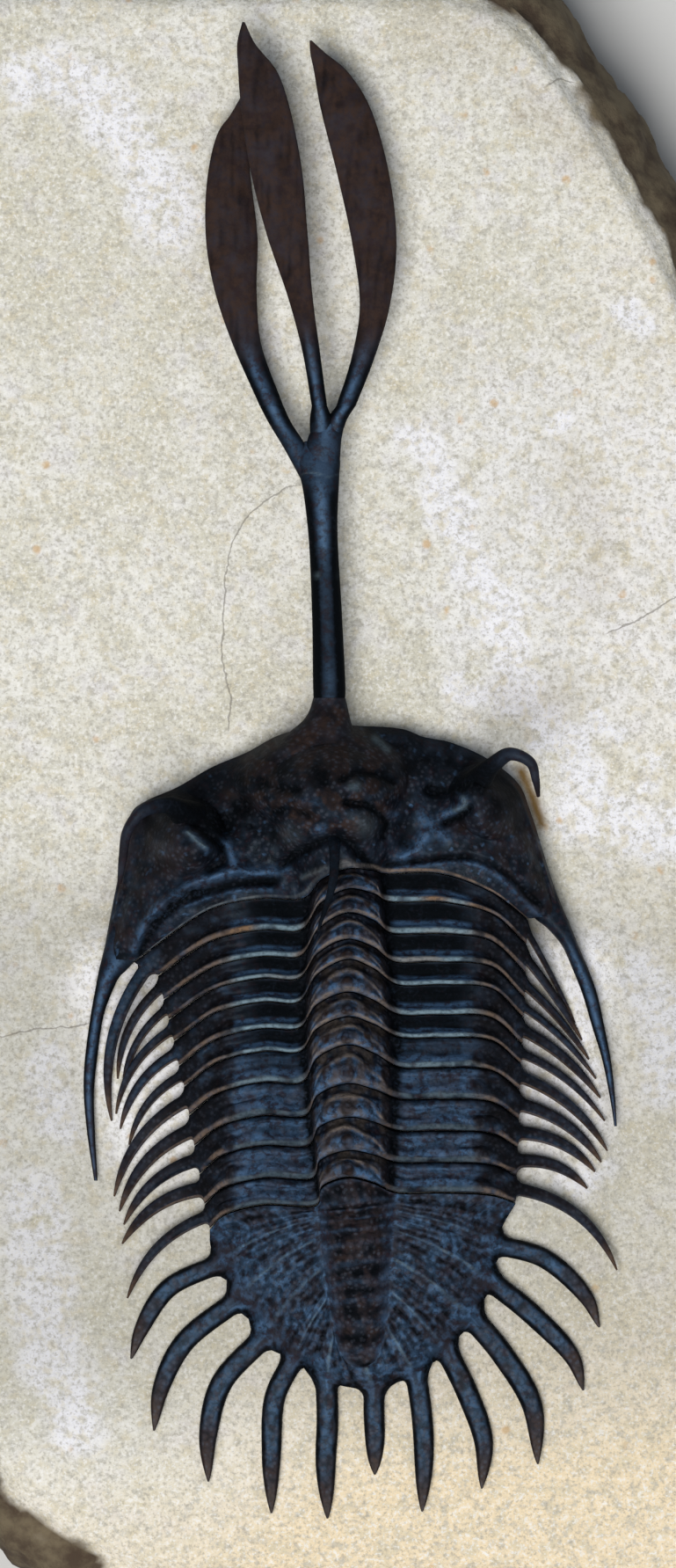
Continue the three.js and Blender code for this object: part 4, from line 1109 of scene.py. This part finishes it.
def tail_spine(root_row, root_marks, first, second, tip, width):
    """The top of a spine that goes on from the field's edge between two notches, and its marks."""
    path = finer([root_row[len(root_row) // 2, :2], first, second, tip], TAIL_SPINE_STEPS)[:, None]
    along = unit(np.gradient(path, axis=0))
    gone = np.cumsum(np.linalg.norm(np.diff(path, axis=0, prepend=path[:1]), axis=-1), axis=0)
    t = gone / gone[-1]
    across = np.linspace(-1, 1, len(root_row))[None, :]
    half_width = mix(width, TIP_WIDTH, t ** 5) / 2
    x = path[..., 0] - along[..., 1] * across * half_width
    y = path[..., 1] + along[..., 0] * across * half_width
    height = mix(TAIL_RIM_ABOVE_STONE, TAIL_TIP_ABOVE_STONE, t ** 1.3)
    z = ground(path[..., 0], path[..., 1]) + height * (0.55 + 0.45 * np.sqrt(1 - np.abs(across) ** 3.2))
    mottle = rough(stacked(x, y, 0), 0.8, 39, octaves=2)
    z = z + 0.07 * mottle * (1 - t ** 4)
    top = stacked(x, y, z)
    sideways = notch_curve(gone, TAIL_NOTCH_RADIUS)
    leaving = stacked(sideways, sideways, 1 - ramp(0, 2 * TAIL_NOTCH_RADIUS, gone))
    top = top + (root_row - top[0]) * leaving

    marks = no_marks(x.shape)
    middle = ramp(0.85, 0.45, np.abs(across) + 0.15 * mottle) + 0 * t
    tipwards = ramp(0.55, 0.95, t) + 0 * across
    # Blue along the top is painted sheen, and the dark sides are painted shade
    marks["blue"] = clamped(middle * (0.36 + 0.4 * mottle)) * (1 - tipwards)
    marks["dark"] = (1 - middle) * (1 - 0.5 * tipwards)
    marks["brown"] = clamped(tipwards + 0.35 * ramp(0, 0.4, -mottle))
    marks["pale"] = (0.03 + 0.2 * ramp(0.7, 1, t)) * middle
    marks["tan"] = tipwards * 0.6
    marks["grainy"] = 0.5 * middle
    starting = 1 - ramp(0, 1.2, gone)
    for name in marks:
        marks[name] = mix(marks[name], root_marks[name], starting)
    return top, marks


def pygidium():
    field, field_marks = tail_field(*tail_columns())
    axis, axis_marks = tail_axis(field)
    tops = [(field, field_marks), (axis, axis_marks)]
    rims = [field[0], field[-1], axis[0]]
    rims += [field[:TAIL_SECTOR_COLUMNS + 1, -1], field[-TAIL_SECTOR_COLUMNS - 1:, -1]]
    for index, (*points, width) in enumerate(TAIL_SPINES[::-1], 1):
        sector = slice(index * TAIL_SECTOR_COLUMNS, (index + 1) * TAIL_SECTOR_COLUMNS + 1)
        root_marks = {name: values[sector, -1] for name, values in field_marks.items()}
        spine, spine_marks = tail_spine(field[sector, -1], root_marks, *points, width)
        tops.append((spine, spine_marks))
        rims += [spine[:, 0], spine[:, -1], spine[-1]]
    parts = []
    for top, marks in tops:
        top[..., 1] -= HAIRLINE
        parts += [sheet(top, marks), sheet(tail_floor(top), no_marks(top.shape[:2]))]
    for rim in rims:
        wall = np.stack([rim, tail_floor(rim)])
        parts.append(sheet(wall, no_marks(wall.shape[:2])))
    build_piece("tail_shell", ["pygidium"], parts, SHELL, weld=True)


# The stone

# Points round the stone, and rings up its side and over its top
STONE_AROUND = 640
STONE_SIDE_RINGS = 24
STONE_TOP_RINGS = 118

# Hairline cracks of the stone's top, and half the width within which they may wander
CRACK_REACH = 1.5
CRACKS = [
    [(-2.6, 17), (-3.8, 16.4), (-4.7, 15.8), (-5.3, 15.2), (-6, 13.7), (-6.4, 12.1), (-6.5, 10.2),
     (-6.6, 7.2), (-6.4, 5.9), (-6.1, 4.9), (-6.2, 3.2)],
    [(-19.4, -14.4), (-17, -14), (-14.2, -13.7)],
    [(15.3, 8.6), (17.2, 9.4), (19.2, 10.6), (21, 11.4)],
    [(11.8, 39.7), (12.6, 40.3), (13.5, 40.1)],
]

# Pale patches: how wide each is, and the line it follows
PALE_PATCHES = [
    (2, [(-17.5, 40.5), (-14.5, 40), (-12.5, 37.5), (-10.5, 34.5), (-9.7, 32)]),
    (1.3, [(4.5, 20), (5.8, 16.8), (7.3, 14)]),
    (1.6, [(7.5, 13), (9.5, 9), (10.5, 5.5), (13, 2), (15, -1)]),
    (1.3, [(7, 5.5), (10, 5), (12, 3.5)]),
    (2, [(14, -2), (16.5, -2.5), (19, -3)]),
    (0.9, [(14.8, 3.6), (15.6, 2.9)]),
    (0.8, [(17.4, 1.2), (17.9, 0.2), (17.2, -0.4)]),
    (0.7, [(12.2, 20.5), (13, 20.8)]),
    (0.9, [(16.5, 27), (17.5, 26)]),
    (1.6, [(17, -11), (18.5, -13), (18.5, -17)]),
    (1.2, [(-16.5, -15.8), (-15.8, -19.5)]),
    (2, [(-17.5, -23.5), (-17, -28), (-16.5, -32), (-14.8, -36.5)]),
    (1.3, [(13.6, -22.3), (14.6, -21.8)]),
]

# Stains: how wide each is, how strong, and the line it follows
STAINS = [
    (0.36, 1, [(10.45, 0.7), (11.1, -0.8), (11.6, -2.3)]),
    (1.6, 0.16, [(9.7, 5), (11, 4.3), (12.4, 4.6)]),
    (0.35, 0.4, [(10.2, 38), (10.5, 38.1)]),
    (0.3, 0.4, [(11.8, 38.1), (12, 38)]),
    (2.4, 0.14, [(5.2, 43), (8.6, 42.2)]),
    (1.5, 0.16, [(11.2, 38.8), (12.4, 37.6), (14.4, 36.4)]),
    (1.4, 0.12, [(13.5, 18), (15, 14), (14.5, 11)]),
]


def between_spines(x, y):
    """How far the stone left between the spines rises over the ground."""
    edges = [plate_edge(index) for index in range(1, SEGMENTS + 1)]
    body = [edge[0][:2] for edge in edges] + TAIL_EDGE + [edge[-1][:2] for edge in edges[::-1]]
    off, hand = distance_to(body, x, y)
    off = -off * hand
    height = mix(0.4, 0.8, ramp(-27, -22, y)) * ramp(-7, -10, y)
    return height * ramp(-1.5, 0.6, off) * (1 - ramp(3.5, 6.5, off))


def crack_marks(x, y):
    """How far beside the nearest crack each place lies, below 0 on its right, and where cracks show."""
    beside, near = np.full(x.shape, 9.0), np.zeros(x.shape)
    for line in CRACKS:
        off, hand = distance_to(line, x, y)
        beside = np.where(off < np.abs(beside), off * hand, beside)
        lengthwise = abs(line[0][1] - line[-1][1]) > 3
        axis, along, margin = (1, y, 0.2) if lengthwise else (0, x, 0)
        places = [point[axis] for point in line]
        within = between(min(places) - margin, max(places) + margin, 0.15, along)
        near = np.maximum(near, within * (off < CRACK_REACH))
    return beside, near


def stone():
    edge = spaced(STONE_OUTLINE, STONE_AROUND, closed=True)
    reach = np.linalg.norm(edge, axis=1)[:, None]

    def sunk(inset):
        return edge[:, None] * ((reach - inset) / reach)[..., None]

    profile = finer([
        (STONE_FOOT_INSET, 0), (STONE_FOOT_INSET / 3, 2), (0, STONE_WIDEST_Z), (RIND_WIDTH / 3, 9),
        (RIND_WIDTH, STONE_TOP - 1),
    ], STONE_SIDE_RINGS // 4)[:-1]
    side = sunk(profile[None, :, 0])
    side = np.concatenate([side, np.repeat(profile[None, :, 1:], STONE_AROUND, axis=0)], axis=-1)
    level = ramp(0, 0.3, np.linspace(0, 1, len(profile)))[None, :, None]
    outward = (edge / reach)[:, None]
    bumps = 0.45 * rough(side, 5, 51) + 0.3 * rough(side, 1.6, 53)
    side[..., :2] += outward * bumps[..., None] * mix(0.4, 1, level)
    side[..., 2] += 0.2 * noise(side, 2, 55) * level[..., 0]

    share = (1 - np.arange(STONE_TOP_RINGS) / STONE_TOP_RINGS)[None, :] ** 0.9
    rim = sunk(RIND_WIDTH) * share[..., None]
    x, y = rim[..., 0], rim[..., 1]
    drop = (1.1 + 0.4 * noise(stacked(x, y, 0), 3, 57)) * ramp(0.965, 1, share)
    places = stacked(x, y, 0)
    grain = 0.09 * rough(places, 2.6, 59) + 0.055 * rough(places, 0.6, 61)
    pits = -0.12 * ramp(0.55, 0.9, noise(places, 1, 63))
    top = stacked(x, y, ground(x, y) + between_spines(x, y) - drop + grain + pits)
    rings = np.swapaxes(np.concatenate([side, top], axis=1), 0, 1)

    x, y, z = rings[..., 0], rings[..., 1], rings[..., 2]
    marks = no_marks(x.shape, STONE_MARKS)
    above = z - ground(x, y) + 0.35 * rough(rings, 2.5, 65)
    marks["rind"] = 1 - ramp(-1.2, -0.85, above)
    warm_rear = ramp(-24, -44, y) * ramp(-14, 6, x)
    marks["warm"] = clamped(warm_rear + 0.12 * ramp(10, 19, x) + 0.5 * ramp(-36, -46, y))
    ragged = 0.8 * rough(rings, 1.5, 67)
    for width, line in PALE_PATCHES:
        off = distance_to(smoothed(line, 5), x, y)[0] + ragged
        at_least(marks, white=1 - ramp(0.45 * width, 1.3 * width, off))
    in_slits = between_spines(x, y) * ramp(-25, -18, y)
    # The lighter right side is partly painted light and partly the stone's paler tone
    pale_side = 0.5 * between(3, 24, 4, y) * ramp(4, 9, x)
    at_least(marks, white=np.maximum(pale_side, 1.2 * in_slits))
    for width, strength, line in STAINS:
        stain = bell(distance_to(line, x, y)[0] + 0.25 * width * rough(rings, 1, 69), width)
        at_least(marks, stain=strength * stain)
    # Painted shade: the stone is darkened over the lower half round the body, less on the right and kept off
    # the slits, with a duller tone of the stone there
    shade_round_body = ramp(-1, -10, y) * ramp(-41, -31, y) * mix(1, 0.85, ramp(-4, 8, x))
    marks["shade_round_body"] = shade_round_body * np.clip(1 - 1.5 * in_slits, 0.1, 1)
    marks["crack_side"], marks["crack_near"] = crack_marks(x, y)
    build_piece("limestone_slab", ["matrix_slab"], [loft(rings, marks)], LIMESTONE)


# Materials

class Paint:
    """A material's nodes, and the colour that the layers laid on so far give."""

    def __init__(self, name, colour):
        self.material = bpy.data.materials.new(name)
        self.material.use_nodes = True
        self.shader = self.material.node_tree.nodes["Principled BSDF"]
        self.place = self.node("ShaderNodeTexCoord").outputs["Object"]
        self.colour = (*colour, 1)

    def node(self, kind, inputs=None, **settings):
        tree = self.material.node_tree
        node = tree.nodes.new(kind)
        for name, value in settings.items():
            setattr(node, name, value)
        for socket, value in (inputs or {}).items():
            if isinstance(value, bpy.types.NodeSocket):
                tree.links.new(value, node.inputs[socket])
            else:
                node.inputs[socket].default_value = value
        return node

    def blended(self, factor, first, second):
        """A colour between two others; each of the three may be a socket or a plain value."""
        node = self.node("ShaderNodeMix", {0: factor, 6: first, 7: second}, data_type="RGBA")
        return node.outputs[2]

    def lay(self, factor, colour):
        """Lays a colour over the colour so far, as strongly as the factor says."""
        colour = (*colour, 1) if isinstance(colour, tuple) else colour
        self.colour = self.blended(factor, self.colour, colour)

    def sums(self, operation, first, second, clamp=False):
        inputs = {0: first, 1: second}
        return self.node("ShaderNodeMath", inputs, operation=operation, use_clamp=clamp).outputs[0]

    def times(self, first, second):
        return self.sums("MULTIPLY", first, second)

    def ranged(self, value, low, high, to_low=0, to_high=1):
        inputs = {"Value": value, "From Min": low, "From Max": high, "To Min": to_low, "To Max": to_high}
        return self.node("ShaderNodeMapRange", inputs, interpolation_type="SMOOTHSTEP").outputs[0]

    def speckle(self, size, detail=3, roughness=0.6):
        """A noise texture whose lumps have the given size in millimetres."""
        inputs = {"Vector": self.place, "Scale": 1 / (size * MM), "Detail": detail, "Roughness": roughness}
        return self.node("ShaderNodeTexNoise", inputs).outputs["Fac"]

    def spots(self, spacing):
        """Distance from the nearest of many scattered points, which lie so many millimetres apart."""
        inputs = {"Vector": self.place, "Scale": 1 / (spacing * MM)}
        return self.node("ShaderNodeTexVoronoi", inputs).outputs["Distance"]

    def marked(self, name):
        return self.node("ShaderNodeAttribute", attribute_name=name).outputs["Fac"]

    def finish(self, roughness, height=None, strength=0, depth=0, specular=0.5):
        """Gives the shader its colour, its roughness and a bump of so many millimetres."""
        inputs = self.shader.inputs
        links = self.material.node_tree.links
        links.new(self.colour, inputs["Base Color"])
        if isinstance(roughness, bpy.types.NodeSocket):
            links.new(roughness, inputs["Roughness"])
        else:
            inputs["Roughness"].default_value = roughness
        inputs["Specular IOR Level"].default_value = specular
        if height:
            settings = {"Height": height, "Strength": strength, "Distance": depth * MM}
            links.new(self.node("ShaderNodeBump", settings).outputs[0], inputs["Normal"])
        return self.material


def shell_material():
    paint = Paint("fossil_shell", BLACK)
    ranged, times, marked = paint.ranged, paint.times, paint.marked
    coarse = paint.speckle(1.1)
    mottle = paint.speckle(0.5, detail=5, roughness=0.7)
    fine = paint.speckle(0.22)
    granules = paint.spots(GRANULE_SPACING)
    dark = marked("dark")
    paint.lay(ranged(coarse, 0.35, 0.7), SLATE)
    # The blue mark lays painted sheen, a cool reflection, over ridges, crests and lids
    paint.lay(times(marked("blue"), ranged(mottle, 0.38, 0.58, 0.3, 1)), SHEEN_BLUE)
    paint.lay(ranged(mottle, 0.5, 0.36, 0, 0.5), MAROON)
    paint.lay(times(marked("brown"), ranged(mottle, 0.35, 0.6, 0.45, 1)), BROWN)
    # The dark mark lays painted shade in furrows, grooves and down rounded sides, with the shell's dark
    # blotches
    paint.lay(times(dark, ranged(fine, 0.7, 0.45, 0.75, 1)), DEEP_BLACK)
    not_dark = paint.sums("SUBTRACT", 1.0, dark, clamp=True)
    grainy = times(marked("grainy"), ranged(not_dark, 0, 1, 0.3, 1))
    paint.lay(times(grainy, ranged(granules, 0.42, 0.2)), TUBERCLE)
    paint.lay(times(grainy, ranged(granules, 0.5, 0.8)), DEEP_BLACK)
    edge_colour = paint.blended(marked("tan"), (*PALE_BLUE, 1), (*TAN, 1))
    # The pale mark lays pale edges of the shell together with painted highlights
    paint.lay(times(marked("pale"), ranged(fine, 0.3, 0.6, 0.45, 1)), edge_colour)
    matte = paint.sums("ADD", marked("brown"), marked("pale"), clamp=True)
    matte = paint.sums("MAXIMUM", matte, dark)
    gloss = paint.sums("ADD", ranged(matte, 0, 1, 0.38, 0.8), ranged(fine, 0.2, 0.8, 0, 0.12))
    paint.shader.inputs["Specular Tint"].default_value = (*COLD_SHINE, 1)
    return paint.finish(gloss, paint.sums("ADD", fine, coarse), 0.35, SHELL_BUMP, specular=0.1)


def stone_material():
    paint = Paint("limestone", CREAM)
    ranged, times, marked = paint.ranged, paint.times, paint.marked
    broad = paint.speckle(9)
    patchy = paint.speckle(2.4, detail=5, roughness=0.65)
    tint = paint.speckle(0.8)
    grain = paint.speckle(0.45, detail=4, roughness=0.7)
    crumb = paint.speckle(0.2, detail=2)
    clouds = paint.sums("ADD", times(broad, 0.5), times(patchy, 0.5))
    paint.lay(ranged(clouds, 0.38, 0.6), CREAM_LIGHT)
    paint.lay(ranged(patchy, 0.5, 0.7, 0, 0.5), LILAC)
    paint.lay(marked("warm"), WARM_SAND)
    paint.lay(times(marked("white"), ranged(patchy, 0.32, 0.46)), SNOW)
    paint.lay(ranged(tint, 0.5, 0.64, 0, 0.6), STRAW)
    paint.lay(ranged(grain, 0.56, 0.3, 0, 0.8), CREAM_GREY)
    paint.lay(ranged(grain, 0.56, 0.72, 0, 0.85), CHALK)
    paint.lay(ranged(crumb, 0.47, 0.32, 0, 0.5), UMBER)
    paint.lay(ranged(crumb, 0.54, 0.68, 0, 0.7), CHALK)
    ochre = times(ranged(paint.spots(OCHRE_SPACING), 0.16, 0.06), ranged(patchy, 0.48, 0.6))
    paint.lay(times(ochre, 0.7), OCHRE)
    paint.lay(marked("stain"), GOLDEN_BROWN)
    # Painted shade darkens the stone round the body's lower half
    paint.lay(times(marked("shade_round_body"), 0.32), SHADE_GREY)
    wobble = times(paint.sums("SUBTRACT", paint.speckle(0.9), 0.5), 0.5)
    off = paint.sums("ABSOLUTE", paint.sums("ADD", marked("crack_side"), wobble), 0)
    crack = times(ranged(off, 0.07, 0.02), marked("crack_near"))
    paint.lay(times(crack, 0.6), CRACK_GREY)
    rind = paint.blended(ranged(patchy, 0.35, 0.65), (*RIND_BROWN, 1), (*RIND_OLIVE, 1))
    paint.lay(marked("rind"), rind)
    return paint.finish(0.92, grain, 0.5, STONE_BUMP, specular=0.25)


# The stage

def stage():
    mesh = bpy.data.meshes.new("floor")
    corners = [(-1, -1), (1, -1), (1, 1), (-1, 1)]
    mesh.from_pydata([(x * FLOOR_HALF, y * FLOOR_HALF, 0) for x, y in corners], [], [(0, 1, 2, 3)])
    floor = bpy.data.objects.new("floor", mesh)
    paint = Paint("pale_floor", FLOOR_GREY)
    paint.lay(paint.speckle(120), FLOOR_LIGHT)
    floor.data.materials.append(paint.finish(0.8))
    bpy.context.scene.collection.objects.link(floor)


def camera():
    data = bpy.data.cameras.new("camera")
    data.sensor_width = CAMERA_SENSOR
    shown = PHOTO_HEIGHT / PIXELS_PER_MM
    data.lens = CAMERA_SENSOR * (CAMERA_HEIGHT - SHELL_HEIGHT) / shown
    data.clip_end = 10
    holder = bpy.data.objects.new("camera", data)
    holder.location = (0, 0, CAMERA_HEIGHT * MM)
    bpy.context.scene.collection.objects.link(holder)
    bpy.context.scene.camera = holder


def area_light(name, place, power, colour):
    """A round lamp that shines on the middle of the floor."""
    data = bpy.data.lights.new(name, "AREA")
    data.shape = "DISK"
    data.size = LAMP_SIZE
    data.energy = power
    data.color = colour
    light = bpy.data.objects.new(name, data)
    light.location = place
    x, y, z = place
    light.rotation_euler = (math.atan2(math.hypot(x, y), z), 0, math.atan2(-x, y) + math.pi)
    bpy.context.scene.collection.objects.link(light)


def lights():
    for lamp in LAMPS:
        area_light(*lamp)
    world = bpy.data.worlds.new("room")
    world.use_nodes = True
    sky = world.node_tree.nodes["Background"].inputs
    sky["Color"].default_value = (*SKY, 1)
    sky["Strength"].default_value = SKY_STRENGTH
    bpy.context.scene.world = world
    bpy.context.scene.view_settings.view_transform = "Standard"


camera()
lights()
stage()
SHELL = shell_material()
LIMESTONE = stone_material()
stone()
cephalon()
trident()
for number in range(1, SEGMENTS + 1):
    segment_name = f"thorax_segment_{number:02d}"
    segment_shell = thorax_segment(number)
    build_piece(f"{segment_name}_shell", [segment_name], [segment_shell], SHELL)
pygidium()
